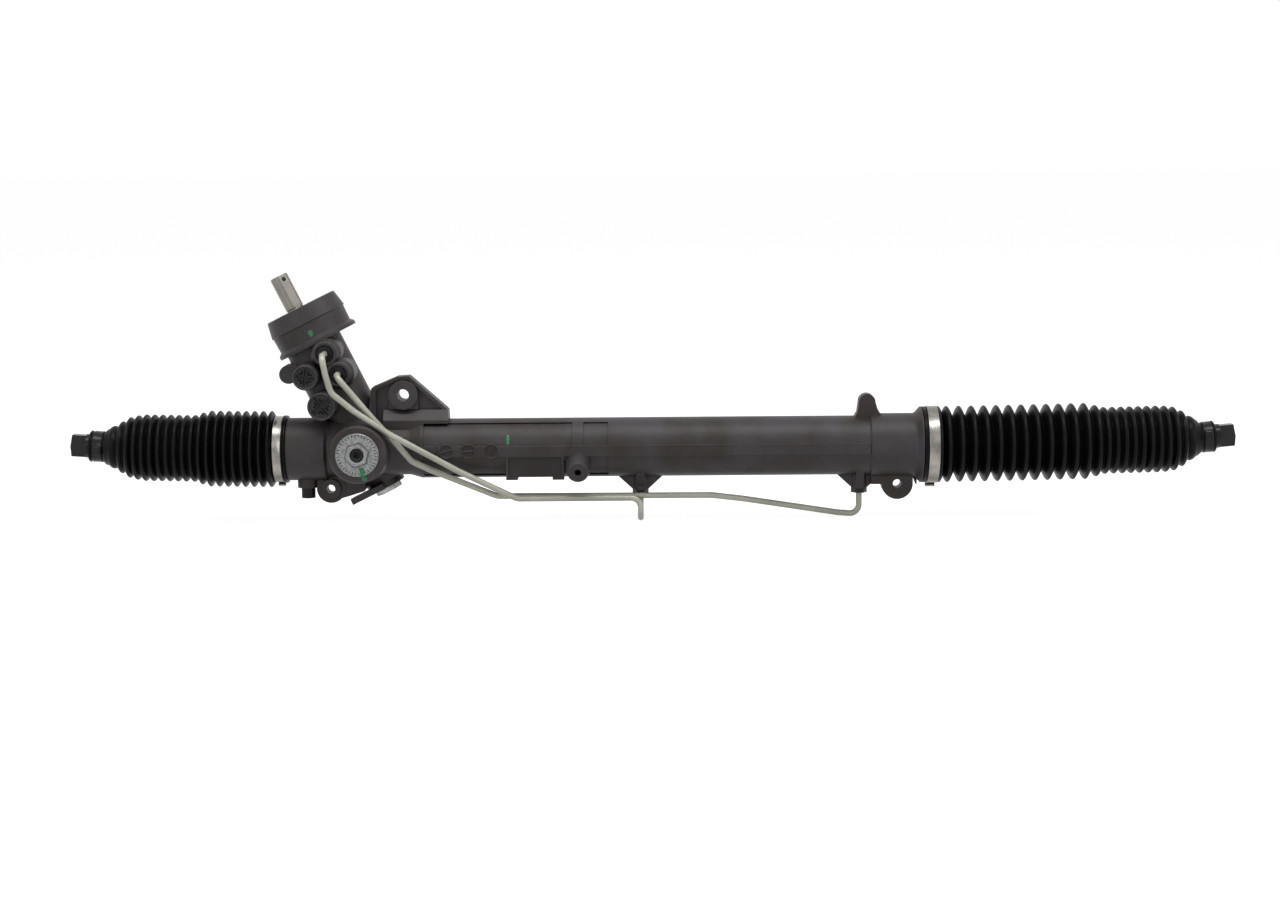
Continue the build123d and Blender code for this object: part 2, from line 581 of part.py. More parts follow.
def torsion_bar_pin():
    return rod(SHAFT_PIN, PIN_R, -INPUT_R + 0.8, SHAFT_FLAT - 0.6)


# Bearings, seals and plugs in the tower

def race(frame, outer, inner, start, end, ball_r, track_r):
    middle = (start + end) / 2
    groove = frame * Pos(0, 0, middle) * Torus(track_r, ball_r + RUNNING)
    return ring(frame, outer, inner, start, end) - groove


BEARING_MIDDLE_R = (LOWER_BEARING_R[0] + LOWER_BEARING_R[1]) / 2
BEARING_BALL_R = 2.4


def lower_bearing_outer():
    return race(TOWER, LOWER_BEARING_R[1], BEARING_MIDDLE_R + 1.3, *LOWER_BEARING, BEARING_BALL_R, BEARING_MIDDLE_R)


def lower_bearing_inner():
    return race(TOWER, BEARING_MIDDLE_R - 1.3, LOWER_BEARING_R[0], *LOWER_BEARING, BEARING_BALL_R, BEARING_MIDDLE_R)


def lower_bearing_balls():
    middle = (LOWER_BEARING[0] + LOWER_BEARING[1]) / 2
    cage = ring(TOWER, BEARING_MIDDLE_R + 1.0, BEARING_MIDDLE_R - 1.0, middle - 3.2, middle + 3.2)
    count = 9
    balls = [TOWER * Rot(0, 0, 360 / count * i) * Pos(BEARING_MIDDLE_R, 0, middle) * Sphere(BEARING_BALL_R)
             for i in range(count)]
    return cage + balls


def pinion_nut():
    nut = hexagon(TOWER, 17, LOWER_BEARING[0] - 6.5, LOWER_BEARING[0])
    return nut - rod(TOWER, 5.0, LOWER_BEARING[0] - 9, LOWER_BEARING[0] + 1)


def pinion_end_cap():
    floor = TOWER_FOOT - 2.5
    cap = rod(TOWER, PLUG_BORE_R, floor, LOWER_BEARING[0] - 1.5) + hexagon(TOWER, 24.0, TOWER_FOOT - 5.3, TOWER_FOOT)
    return cap - rod(TOWER, PLUG_BORE_R - 1, floor, LOWER_BEARING[0])


def lip_seal(frame, outer, inner, start, end):
    """Seal ring with an open channel on one side."""
    middle = (outer + inner) / 2
    body = ring(frame, outer, inner + RUNNING, start, end)
    return body - ring(frame, middle + 1.2, middle - 1.2, start + 2.5, end + 1)


def pinion_seal():
    return lip_seal(TOWER, PINION_BORE_R, 9.0, *PINION_SEAL)


def pinion_needle_bearing():
    return ring(TOWER, PINION_BORE_R, 11.0 + RUNNING, *UPPER_NEEDLES)


def input_needle_bearing():
    return ring(TOWER, VALVE_BORE_R, 11.0 + RUNNING, *INPUT_BEARING)


def input_seal():
    return lip_seal(TOWER, VALVE_BORE_R, 11.0, *INPUT_SEAL)


def input_retaining_ring():
    clip = ring(TOWER, VALVE_BORE_R + 1.1, VALVE_BORE_R - 2.5, INPUT_SEAL[1], INPUT_SEAL[1] + 1.4)
    return clip - TOWER * Pos(0, -20, INPUT_SEAL[1]) * Box(8, 10, 6)


def valve_cover():
    """Round cover on the tower's head, beside the pinion axis, with a lip for the bulkhead seal."""
    cover = turned(
        COVER,
        (0, COVER_FOOT + 3), (35, COVER_FOOT), (COVER_RIM_R, COVER_FOOT), (COVER_RIM_R, COVER_FOOT + 3.5),
        (COVER_RIM_R - 3.3, COVER_FOOT + 6.5), (COVER_RIM_R - 2.8, COVER_TOP - 17.5),
        (COVER_RIM_R - 1.7, COVER_TOP - 16.5), (COVER_RIM_R - 4.7, COVER_TOP - 0.8), (COVER_RIM_R - 5.5, COVER_TOP),
        (0, COVER_TOP),
    )
    cover -= rod(COVER, COVER_RIM_R - 6.1, TOWER_TOP + 2, COVER_TOP - 4)
    cover -= rod(TOWER, TOWER_R, COVER_FOOT - 1, TOWER_TOP)
    cover -= rod(TOWER, 24, TOWER_TOP - 1, TOWER_TOP + 3)
    return cover - rod(TOWER, INPUT_R + 1.2, TOWER_TOP - 1, COVER_TOP + 1)


# Yoke

def yoke():
    block = rod(YOKE, YOKE_R - RUNNING, 4, YOKE_END)
    block -= rod(RACK, RACK_R + RUNNING + LINER, -40, 40)
    block -= rod(YOKE, 9.5, YOKE_END - 12, YOKE_END + 1)
    return block - ring(YOKE, YOKE_R + 1, YOKE_R - 2, 29, 32.5)


def yoke_liner():
    shell = ring(RACK, RACK_R + RUNNING + LINER, RACK_R + RUNNING, YOKE_X - 15, YOKE_X + 15)
    return shell & (Pos(YOKE_X, -RACK_R - 2.5, 0) * Box(30, RACK_R, 2 * RACK_R))


def yoke_o_ring():
    return YOKE * Pos(0, 0, 30.75) * Torus(YOKE_R - 1.0, 1.0)


def yoke_spring():
    turns, wire, radius, start, end = 3.5, 1.4, 7.6, YOKE_END - 12, YOKE_END + 6
    path = Helix(pitch=(end - start - 2 * wire) / turns, height=end - start - 2 * wire, radius=radius)
    profile = Plane(origin=path @ 0, z_dir=path % 0) * RegularPolygon(wire, 8)
    return YOKE * Pos(0, 0, start + wire) * sweep(profile, path=path)


def yoke_adjuster():
    disc = rod(YOKE, ADJUSTER_R, YOKE_END + YOKE_PLAY, ADJUSTER_FACE) + hexagon(YOKE, 22, ADJUSTER_FACE, ADJUSTER_FACE + 3)
    disc -= rod(YOKE, 9.5, YOKE_END, YOKE_END + 6)
    return disc - rod(YOKE, 6.75, YOKE_END, ADJUSTER_FACE + 4)


def adjuster_plug():
    plug = rod(YOKE, 6.75, YOKE_END + 8, ADJUSTER_FACE + 2.2)
    return plug - rod(YOKE, 3.0, ADJUSTER_FACE - 4, ADJUSTER_FACE + 4)


# Cylinder

def rack_piston():
    piston = ring(RACK, CYLINDER_R - 0.5, RACK_R, PISTON_X - PISTON_WIDTH / 2, PISTON_X + PISTON_WIDTH / 2)
    return piston - ring(RACK, CYLINDER_R + 1, CYLINDER_R - 3, PISTON_X - 2, PISTON_X + 2)


def piston_ring():
    return ring(RACK, CYLINDER_R - RUNNING, CYLINDER_R - 3, PISTON_X - 2, PISTON_X + 2)


def piston_clips():
    clips = []
    for side in (-1, 1):
        edge = PISTON_X + side * (PISTON_WIDTH / 2 + RING_WIRE / 2)
        clips.append(ring(RACK, RACK_R + RING_WIRE / 2, RACK_R - RING_WIRE / 2, edge - RING_WIRE / 2,
                          edge + RING_WIRE / 2))
    return clips


def inner_rack_seal():
    return lip_seal(RACK, CYLINDER_R, RACK_R, CYLINDER_START, CYLINDER_START + SEAL_WIDTH)


def seal_backup():
    """Guide ring behind the seal, with a recess that the piston's clip enters at full travel."""
    backup = ring(RACK, CYLINDER_R, RACK_R + RUNNING, CYLINDER_START + SEAL_WIDTH, BACKUP_END)
    return backup - rod(RACK, RACK_R + RING_WIRE / 2 + LOOSE, BACKUP_END - RING_WIRE - LOOSE, BACKUP_END + 1)


def end_bulkhead():
    end = BULKHEAD_START + BULKHEAD_LENGTH
    plug = ring(RACK, CYLINDER_R, RACK_R + 1, BULKHEAD_START, end)
    plug -= rod(RACK, 18, BULKHEAD_START - 1, BULKHEAD_START + SEAL_WIDTH)
    plug -= rod(RACK, 16, end - 20, end + 1)
    return plug - ring(RACK, CYLINDER_R + 1, CYLINDER_R - 2.4, BULKHEAD_START + 14, BULKHEAD_START + 17)


def bulkhead_o_ring():
    return RACK * Pos(0, 0, BULKHEAD_START + 15.5) * Torus(CYLINDER_R - 1.2, 1.2)


def end_rack_seal():
    return lip_seal(RACK, 18, RACK_R, BULKHEAD_START, BULKHEAD_START + SEAL_WIDTH)


def rack_bushing():
    end = BULKHEAD_START + BULKHEAD_LENGTH
    return ring(RACK, 16, RACK_R + RUNNING, end - 20, end)


def bulkhead_ring():
    end = BULKHEAD_START + BULKHEAD_LENGTH
    clip = ring(RACK, CYLINDER_R + 1.1, CYLINDER_R - 2, end, end + RING_WIRE - 0.1)
    return clip - Pos(end, 0, -CYLINDER_R) * Box(10, 8, 10)


# Ball joints and tie rods

def ball_socket(frame):
    mouth = radians(SOCKET_MOUTH)
    cavity = BALL_R + SEAT_WALL + RUNNING
    socket = rod(frame, SOCKET_R, -cavity * cos(mouth), SOCKET_LENGTH)
    socket -= frame * Sphere(cavity)
    socket += rod(frame, STUD_R, SOCKET_LENGTH, SOCKET_LENGTH + STUD_LENGTH)
    flats = Pos(0, 0, SOCKET_LENGTH - 6)
    for side in (-1, 1):
        socket -= frame * flats * Pos(0, side * (SOCKET_R + 3), 0) * Box(60, 10, 8)
    return socket


def ball_seat(frame):
    opening = BALL_R * 1.2 * tan(radians(SOCKET_MOUTH))
    shell = Sphere(BALL_R + SEAT_WALL) - Sphere(BALL_R + RUNNING)
    shell -= turned(Pos(0, 0, 0), (0, 0), (0, -1.2 * BALL_R), (opening, -1.2 * BALL_R))
    return frame * (shell - rod(Pos(0, 0, 0), 4, 0, 20))


def tie_rod(frame):
    rod_body = turned(
        frame,
        (0, 0), (6.5, 0), (6.5, 17), (ROD_R, 20), (ROD_R, ROD_SEAT[0] - 6), (ROD_SEAT_R, ROD_SEAT[0]),
        (ROD_SEAT_R, ROD_SEAT[1]), (0, ROD_SEAT[1]),
    )
    rod_body += frame * Sphere(BALL_R)
    rod_body += hexagon(frame * Rot(0, 0, 30), HEX_FLATS, ROD_SEAT[1], ROD_LENGTH)
    return rod_body - rod(frame, ROD_THREAD_R, ROD_LENGTH - ROD_THREAD_DEPTH, ROD_LENGTH + 1)


# Bellows and clamps

def bellows(axis, ridges, collar, neck):
    """Gaiter: zigzag ridges on a leaning axis, a collar on the housing and a neck on the tie rod.

    ridges holds radius and height of each fold, from the collar outwards.
    """
    outline = []
    for (r0, z0), (r1, z1) in zip(ridges, ridges[1:]):
        outline += [(r0, z0), (min(r0, r1) - FOLD_DEPTH, (z0 + z1) / 2)]
    outline.append(ridges[-1])
    inner = [(r - FOLD_DEPTH - GAITER_WALL, z) for r, z in reversed(ridges)]
    first, last = ridges[0], ridges[-1]
    start, end = first[1] - 2.2, last[1] + 4
    skin = [(first[0] - FOLD_DEPTH, start)] + outline
    skin += [(last[0] - FOLD_DEPTH, end), (last[0] - FOLD_DEPTH - GAITER_WALL, end)] + inner
    skin += [(first[0] - FOLD_DEPTH - GAITER_WALL, start)]
    return turned(axis, *skin) + collar + neck


def gaiter_folds(starts, pitches, counts, step, tail, end):
    """Radius and height of each fold: large ones, a step in radius, small ones and a tail that closes in.

    The first fold stays at the collar, the last lies at end and the rest spread evenly between them.
    """
    (first, middle), (large, small) = starts, pitches
    folds = [(LARGE_FOLD_R, first + large * i) for i in range(counts[0])]
    folds += [(LARGE_FOLD_R - step, middle)] + [(SMALL_FOLD_R, middle + small * i) for i in range(1, counts[1])]
    for radius in tail:
        folds.append((radius, folds[-1][1] + small))
    share = (end - first) / (folds[-1][1] - first)
    return [(radius, first + (height - first) * share) for radius, height in folds]


def left_folds():
    end = LEFT_SEAT_END - LEFT_BALL_X + LEFT_LAST_FOLD
    return gaiter_folds(LEFT_FOLDS, LEFT_PITCHES, (8, LEFT_RIDGES - 12), 2, (32.3, 30.3, 25.7, 21.0), end)


def right_folds():
    end = RIGHT_REACH + RIGHT_LAST_FOLD
    return gaiter_folds(RIGHT_FOLDS, RIGHT_PITCHES, (12, RIGHT_RIDGES - 16), 2.3, (33.0, 31.6, 27.0, 21.5), end)


LEFT_BEND = degrees(atan2(tan(radians(LEFT_TILT)) * 60, 185))
RIGHT_BEND = degrees(atan2(tan(radians(RIGHT_TILT)) * 60, 285))
LEFT_BELLOWS_AXIS = Pos(LEFT_SEAT_END, 0, 0) * Rot(0, LEFT_BEND - 90, 0)
RIGHT_BELLOWS_AXIS = Pos(RIGHT_SEAT_X, 0, 0) * Rot(0, 90 - RIGHT_BEND, 0)
LEFT_COLLAR_R = 32.2
RIGHT_COLLAR_R = 37.6


def bellows_left():
    frame = Pos(LEFT_SEAT_END, 0, 0) * Rot(0, -90, 0)
    collar = ring(frame, LEFT_COLLAR_R, LEFT_SEAT_R, 0, LEFT_COLLAR[0])
    collar += ring(frame, LEFT_COLLAR_R, LEFT_NECK_R + 2.5, *LEFT_COLLAR)
    neck = turned(LEFT_ROD, (ROD_SEAT_R, 52), (ROD_SEAT_R, 69), (14.2, 69), (14.2, 54), (17.5, 46), (14, 46))
    return bellows(LEFT_BELLOWS_AXIS, left_folds(), collar, neck)


def bellows_right():
    frame = Pos(RIGHT_SEAT_X, 0, 0) * Rot(0, 90, 0)
    collar = ring(frame, RIGHT_COLLAR_R, RIGHT_SEAT_R, 0, RIGHT_COLLAR[0])
    collar += ring(frame, RIGHT_COLLAR_R, RIGHT_SEAT_R - 5.5, *RIGHT_COLLAR)
    neck = turned(RIGHT_ROD, (ROD_SEAT_R, 52), (ROD_SEAT_R, 69), (14.2, 69), (14.2, 54), (17.5, 46), (14, 46))
    return bellows(RIGHT_BELLOWS_AXIS, right_folds(), collar, neck)


def band_clamp(frame, radius, start, end, ear_width):
    band = ring(frame, radius + CLAMP_WALL, radius, start, end)
    ear = frame * Pos(radius + 2.6, 0, (start + end) / 2) * Box(5.6, ear_width, end - start - 1)
    return band + (ear - rod(frame, radius + CLAMP_WALL / 2, start - 1, end + 1))


def large_clamp_left():
    return band_clamp(Pos(LEFT_SEAT_END, 0, 0) * Rot(0, -90, 0) * Rot(0, 0, 180), LEFT_COLLAR_R, 4.5, 12.7, 9)


def large_clamp_right():
    return band_clamp(Pos(RIGHT_SEAT_X, 0, 0) * Rot(0, 90, 0), RIGHT_COLLAR_R, 5, 15.5, 9)


def small_clamp_left():
    return band_clamp(LEFT_ROD, 14.2, 56, 65, 6)


def small_clamp_right():
    return band_clamp(RIGHT_ROD, 14.2, 56, 65, 6)


# Pipes and their nuts

def pipe(points, bends):
    path = FilletPolyline(*points, radius=bends)
    plane = Plane(origin=path @ 0, z_dir=path % 0)
    return sweep(plane * (Circle(PIPE_R) - Circle(PIPE_BORE_R)), path=path)


def pipe_short():
    x, z = pipe_frame(PORT_1)
    inside = -(PORT_FACE - PORT_RECESS - NUT_BORE_DEPTH)
    port = MIDDLE_PORT_X
    points = [
        (x, inside, z), (x, -56, z), (-31, -56, 78), (-26.5, -53, 61), (-5, -49.5, 42.5), (30, -46, 18.5),
        (44, -43, 10.5), (95, -32, -19.5), (152, -20, -49), (port, -20, -49), (port, -20, -70), (port, 0, -70),
        (port, 0, -(CYLINDER_PORT_FACE - NUT_BORE_DEPTH)),
    ]
    return pipe(points, [9, 14, 14, 14, 14, 14, 14, 14, 9.8, 9.8, 9.8])


def pipe_long():
    x, z = pipe_frame(PORT_2)
    inside = -(PORT_FACE - PORT_RECESS - NUT_BORE_DEPTH)
    port = RIGHT_PORT_X
    points = [
        (x, inside, z), (x, -47, z), (-5, -44, 55.5), (10.5, -41, 36.5), (38, -36.5, 4.5), (49.5, -35, -9),
        (69, -30, -19), (132, -11, -47.5), (346, -11, -48), (376, -8, -52), (port - 20.4, 0, -68), (port, 0, -69.5),
        (port, 0, -(CYLINDER_PORT_FACE - NUT_BORE_DEPTH)),
    ]
    return pipe(points, [8, 14, 14, 12, 12, 14, 14, 14, 14, 7, 9])


def tube_nut(frame, face):
    """Flare nut: threaded shank in the port, hexagon outside, pipe through."""
    nut = rod(frame, NUT_BORE_R, face - NUT_BORE_DEPTH + 3, face) + hexagon(frame, NUT_FLATS, face, face + NUT_HEAD)
    return nut - rod(frame, PIPE_R, face - NUT_BORE_DEPTH, face + NUT_HEAD + 1)


def valve_pipe_nuts():
    return [tube_nut(on_tower(place), PORT_FACE - PORT_RECESS) for place in (PORT_1, PORT_2)]


def cylinder_pipe_nuts():
    return [tube_nut(Pos(x, 0, 0) * DOWN, CYLINDER_PORT_FACE) for x in (MIDDLE_PORT_X, RIGHT_PORT_X)]


def port_plug(place, bore_r, rim_r):
    """Push-in shipping plug: hollow shank, raised rim and a cross in its recess."""
    frame = on_tower(place)
    plug = rod(frame, bore_r, HOSE_FACE - 10, HOSE_FACE) + rod(frame, rim_r, HOSE_FACE, HOSE_FACE + 4.5)
    plug -= rod(frame, rim_r - 2, HOSE_FACE + 2.2, HOSE_FACE + 5)
    for turn in (10, 100):
        plug += frame * Rot(0, 0, turn) * Pos(0, 0, HOSE_FACE + 3) * Box(2 * rim_r - 6, 2, 2)
    return plug


def pressure_port_plug():
    return port_plug(HOSE_1, HOSE_BORE_R[0], 12.5)


def return_port_plug():
    return port_plug(HOSE_2, HOSE_BORE_R[1], 14.0)


def vent_cap():
    frame = Pos(VENT_X, 0, 0) * DOWN
    cap = rod(frame, 3.0, 30, VENT_FACE) + rod(frame, 6.9, VENT_FACE, 49)
    return cap - rod(frame, 1.2, 29, 46)


NODES = {
    "rack_housing": rack_housing,
    "rack_bar": rack_bar,
    "pinion": pinion,
    "valve_sleeve": valve_sleeve,
    "valve_seal_rings": valve_seal_rings,
    "input_shaft": input_shaft,
    "torsion_bar": torsion_bar,
    "torsion_bar_pin": torsion_bar_pin,
    "lower_bearing_outer": lower_bearing_outer,
    "lower_bearing_inner": lower_bearing_inner,
    "lower_bearing_balls": lower_bearing_balls,
    "pinion_nut": pinion_nut,
    "pinion_end_cap": pinion_end_cap,
    "pinion_seal": pinion_seal,
    "pinion_needle_bearing": pinion_needle_bearing,
    "input_needle_bearing": input_needle_bearing,
    "input_seal": input_seal,
    "input_retaining_ring": input_retaining_ring,
    "valve_cover": valve_cover,
    "yoke": yoke,
    "yoke_liner": yoke_liner,
    "yoke_o_ring": yoke_o_ring,
    "yoke_spring": yoke_spring,
    "yoke_adjuster": yoke_adjuster,
    "adjuster_plug": adjuster_plug,
    "rack_piston": rack_piston,
    "piston_ring": piston_ring,
    "piston_clips": piston_clips,
    "inner_rack_seal": inner_rack_seal,
    "seal_backup": seal_backup,
    "end_bulkhead": end_bulkhead,
    "bulkhead_o_ring": bulkhead_o_ring,
    "end_rack_seal": end_rack_seal,
    "rack_bushing": rack_bushing,
    "bulkhead_ring": bulkhead_ring,
    "ball_socket_left": lambda: ball_socket(LEFT_SOCKET),
    "ball_socket_right": lambda: ball_socket(RIGHT_SOCKET),
    "ball_seat_left": lambda: ball_seat(LEFT_SOCKET),
    "ball_seat_right": lambda: ball_seat(RIGHT_SOCKET),
    "tie_rod_left": lambda: tie_rod(LEFT_ROD),
    "tie_rod_right": lambda: tie_rod(RIGHT_ROD),
    "bellows_left": bellows_left,
    "bellows_right": bellows_right,
    "large_clamp_left": large_clamp_left,
    "large_clamp_right": large_clamp_right,
    "small_clamp_left": small_clamp_left,
    "small_clamp_right": small_clamp_right,
    "pipe_short": pipe_short,
    "pipe_long": pipe_long,
    "valve_pipe_nuts": valve_pipe_nuts,
    "cylinder_pipe_nuts": cylinder_pipe_nuts,
    "pressure_port_plug": pressure_port_plug,
    "return_port_plug": return_port_plug,
    "vent_cap": vent_cap,
}

os.makedirs("parts", exist_ok=True)
HOME = Pos(-UPPER_LUG[0], 0, -UPPER_LUG[1])
for name, make in NODES.items():
    shape = make()
    if isinstance(shape, (list, tuple)):
        shape = Compound(children=list(shape))
    export_step(HOME * shape, f"parts/{name}.step")
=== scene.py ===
import json
from math import cos, pi, radians, sin, tan

import bmesh
import bpy
import numpy as np
from mathutils import Matrix, Vector


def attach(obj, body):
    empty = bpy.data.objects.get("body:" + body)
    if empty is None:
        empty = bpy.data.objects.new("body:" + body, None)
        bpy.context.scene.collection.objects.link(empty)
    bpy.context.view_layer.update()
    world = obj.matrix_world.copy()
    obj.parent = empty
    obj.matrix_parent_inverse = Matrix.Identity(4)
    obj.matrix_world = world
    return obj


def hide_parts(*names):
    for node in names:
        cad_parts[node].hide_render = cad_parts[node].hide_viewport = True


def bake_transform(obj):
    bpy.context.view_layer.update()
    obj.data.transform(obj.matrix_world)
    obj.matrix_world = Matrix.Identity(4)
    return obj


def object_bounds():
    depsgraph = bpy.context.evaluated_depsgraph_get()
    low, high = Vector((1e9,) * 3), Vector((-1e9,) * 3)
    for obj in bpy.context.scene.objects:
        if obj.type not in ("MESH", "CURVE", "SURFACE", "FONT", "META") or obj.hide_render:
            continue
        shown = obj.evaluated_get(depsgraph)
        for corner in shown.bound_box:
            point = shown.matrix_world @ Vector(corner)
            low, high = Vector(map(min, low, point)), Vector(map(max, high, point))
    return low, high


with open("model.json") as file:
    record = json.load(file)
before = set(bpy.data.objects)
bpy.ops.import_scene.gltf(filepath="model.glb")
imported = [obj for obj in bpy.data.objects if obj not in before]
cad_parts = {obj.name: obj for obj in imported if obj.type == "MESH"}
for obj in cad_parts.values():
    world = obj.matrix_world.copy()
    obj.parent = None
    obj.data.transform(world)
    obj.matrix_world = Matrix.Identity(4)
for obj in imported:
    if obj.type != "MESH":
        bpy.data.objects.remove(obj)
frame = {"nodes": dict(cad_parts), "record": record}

CAD_BOX = [list(corner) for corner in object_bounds()]
NODES = frame["nodes"]
MM = 0.001

# The gear's own frame: X along the rack, zero below the pinion on the rack's axis, in millimetres
GEAR_ORIGIN = np.array([-39.9, 0.0, -54.5])
TOWER_LEAN = radians(26.4)
PINION_Y = 17.66
LEFT_SEAT_X = -76.0          # where the bellows start on the casting
RIGHT_SEAT_X = 555.0
LEFT_BALL_X = -205.0         # centres of the ball joints
RIGHT_BALL_X = 780.2
LEFT_TILT = radians(3.82)    # how steeply the tie rods rise
RIGHT_TILT = radians(5.08)
YOKE_X = -2.0
ADJUSTER_FACE = 57.0         # front of the adjuster's disc, before the rack's axis
COVER_R = 38.6
COVER_OFFSET = 5.4           # the cover's centre beside the tower's axis
PANEL_R = 28.4

# The photograph's view
IMAGE_WIDTH = 1280
VIEW_DISTANCE = 2450.0
VIEW_ELEVATION = radians(7.0)
VIEW_ROLL = radians(-0.43)
VIEW_TARGET = (274.5, 0.0, -10.64)
SENSOR = 36.0


# Places

def gear_points(x, y, z):
    """Points of the gear's own frame, moved by its origin and turned to metres."""
    return (np.stack(np.broadcast_arrays(x, y, z), -1) + GEAR_ORIGIN) * MM


def axis_frame(origin, direction, side=(0, 1, 0)):
    """Matrix at a point of the gear's frame: Z runs along direction, Y as near side as it can be."""
    z = Vector(direction).normalized()
    y = (Vector(side) - z * z.dot(Vector(side))).normalized()
    matrix = Matrix((y.cross(z), y, z)).transposed().to_4x4()
    matrix.translation = gear_points(*origin)
    return matrix


def on_axis(axis, x, y, z):
    """Points given in an axis matrix's own millimetres: turned by it, then moved to its origin."""
    points = np.stack(np.broadcast_arrays(x, y, z), -1) * MM
    return points @ np.array(axis.to_3x3()).T + np.array(axis.translation)


def tower_port(across, height):
    """Axis of a port on the tower that faces the front; across and height run along the tower."""
    x = across * cos(TOWER_LEAN) - height * sin(TOWER_LEAN)
    z = across * sin(TOWER_LEAN) + height * cos(TOWER_LEAN)
    return axis_frame((x, 0, z), (0, -1, 0), (0, 0, 1))


RACK_AXIS = axis_frame((0, 0, 0), (1, 0, 0))
TOWER_AXIS = axis_frame((0, PINION_Y, 0), (-sin(TOWER_LEAN), 0, cos(TOWER_LEAN)))
LEFT_ROD = axis_frame((LEFT_BALL_X, 0, 0), (-cos(LEFT_TILT), 0, sin(LEFT_TILT)))
RIGHT_ROD = axis_frame((RIGHT_BALL_X, 0, 0), (cos(RIGHT_TILT), 0, sin(RIGHT_TILT)))
YOKE_AXIS = axis_frame((YOKE_X, 0, 0), (0, -1, 0), (0, 0, 1))


# Materials

def linear(colour):
    """Linear RGBA of an sRGB hex colour."""
    channels = [int(colour[i:i + 2], 16) / 255 for i in (1, 3, 5)]
    return [c / 12.92 if c <= 0.04045 else ((c + 0.055) / 1.055) ** 2.4 for c in channels] + [1.0]


def add_node(tree, kind, inputs=None, **settings):
    """Adds a node with its settings; inputs gives each socket a value, or the output that feeds it."""
    made = tree.nodes.new("ShaderNode" + kind)
    for name, value in settings.items():
        setattr(made, name, value)
    for name, value in (inputs or {}).items():
        if isinstance(value, bpy.types.NodeSocket):
            tree.links.new(value, made.inputs[name])
        else:
            made.inputs[name].default_value = value
    return made


def per_metre(size):
    """Noise scale that gives features that many millimetres wide, in Object coordinates."""
    return 1000.0 / size


def add_corner_shade_and_wear(tree, colour, edge, corner_shade_and_rust, worn):
    """Colour with soil in the corners and worn on the free edges, from the Bevel node edge.

    The corner colour is painted shade on the casting and rust on the shaft. It grows as the openness, the
    ambient occlusion over 3.5 mm, falls from 0.85 to 0.4. An edge is where the cosine between the bevelled
    and the flat normal falls from 0.99 to 0.86.
    """
    openness = add_node(tree, "AmbientOcclusion", {"Distance": 3.5 * MM}, samples=8, only_local=True)
    openness = openness.outputs["AO"]
    corner = add_node(tree, "MapRange", {"Value": openness, "From Min": 0.4, "From Max": 0.85, "To Min": 0.9,
                                         "To Max": 0.0})
    # Painted shade in the corners of the casting; on the shaft this colour is rust
    corner_darkened = add_node(tree, "Mix", {"Factor": corner.outputs["Result"], 6: colour, 7: linear(corner_shade_and_rust)},
                      data_type="RGBA")
    flat = add_node(tree, "NewGeometry").outputs["Normal"]
    turn = add_node(tree, "VectorMath", {0: edge.outputs["Normal"], 1: flat}, operation="DOT_PRODUCT")
    rim = add_node(tree, "MapRange", {"Value": turn.outputs["Value"], "From Min": 0.99, "From Max": 0.86,
                                      "To Max": 0.8})
    free = add_node(tree, "MapRange", {"Value": openness, "From Min": 0.8, "From Max": 0.95})
    rubbed = add_node(tree, "Math", {0: rim.outputs["Result"], 1: free.outputs["Result"]},
                      operation="MULTIPLY")
    edged = add_node(tree, "Mix", {"Factor": rubbed.outputs["Value"], 6: corner_darkened.outputs[2], 7: linear(worn)},
                     data_type="RGBA")
    return edged.outputs[2]


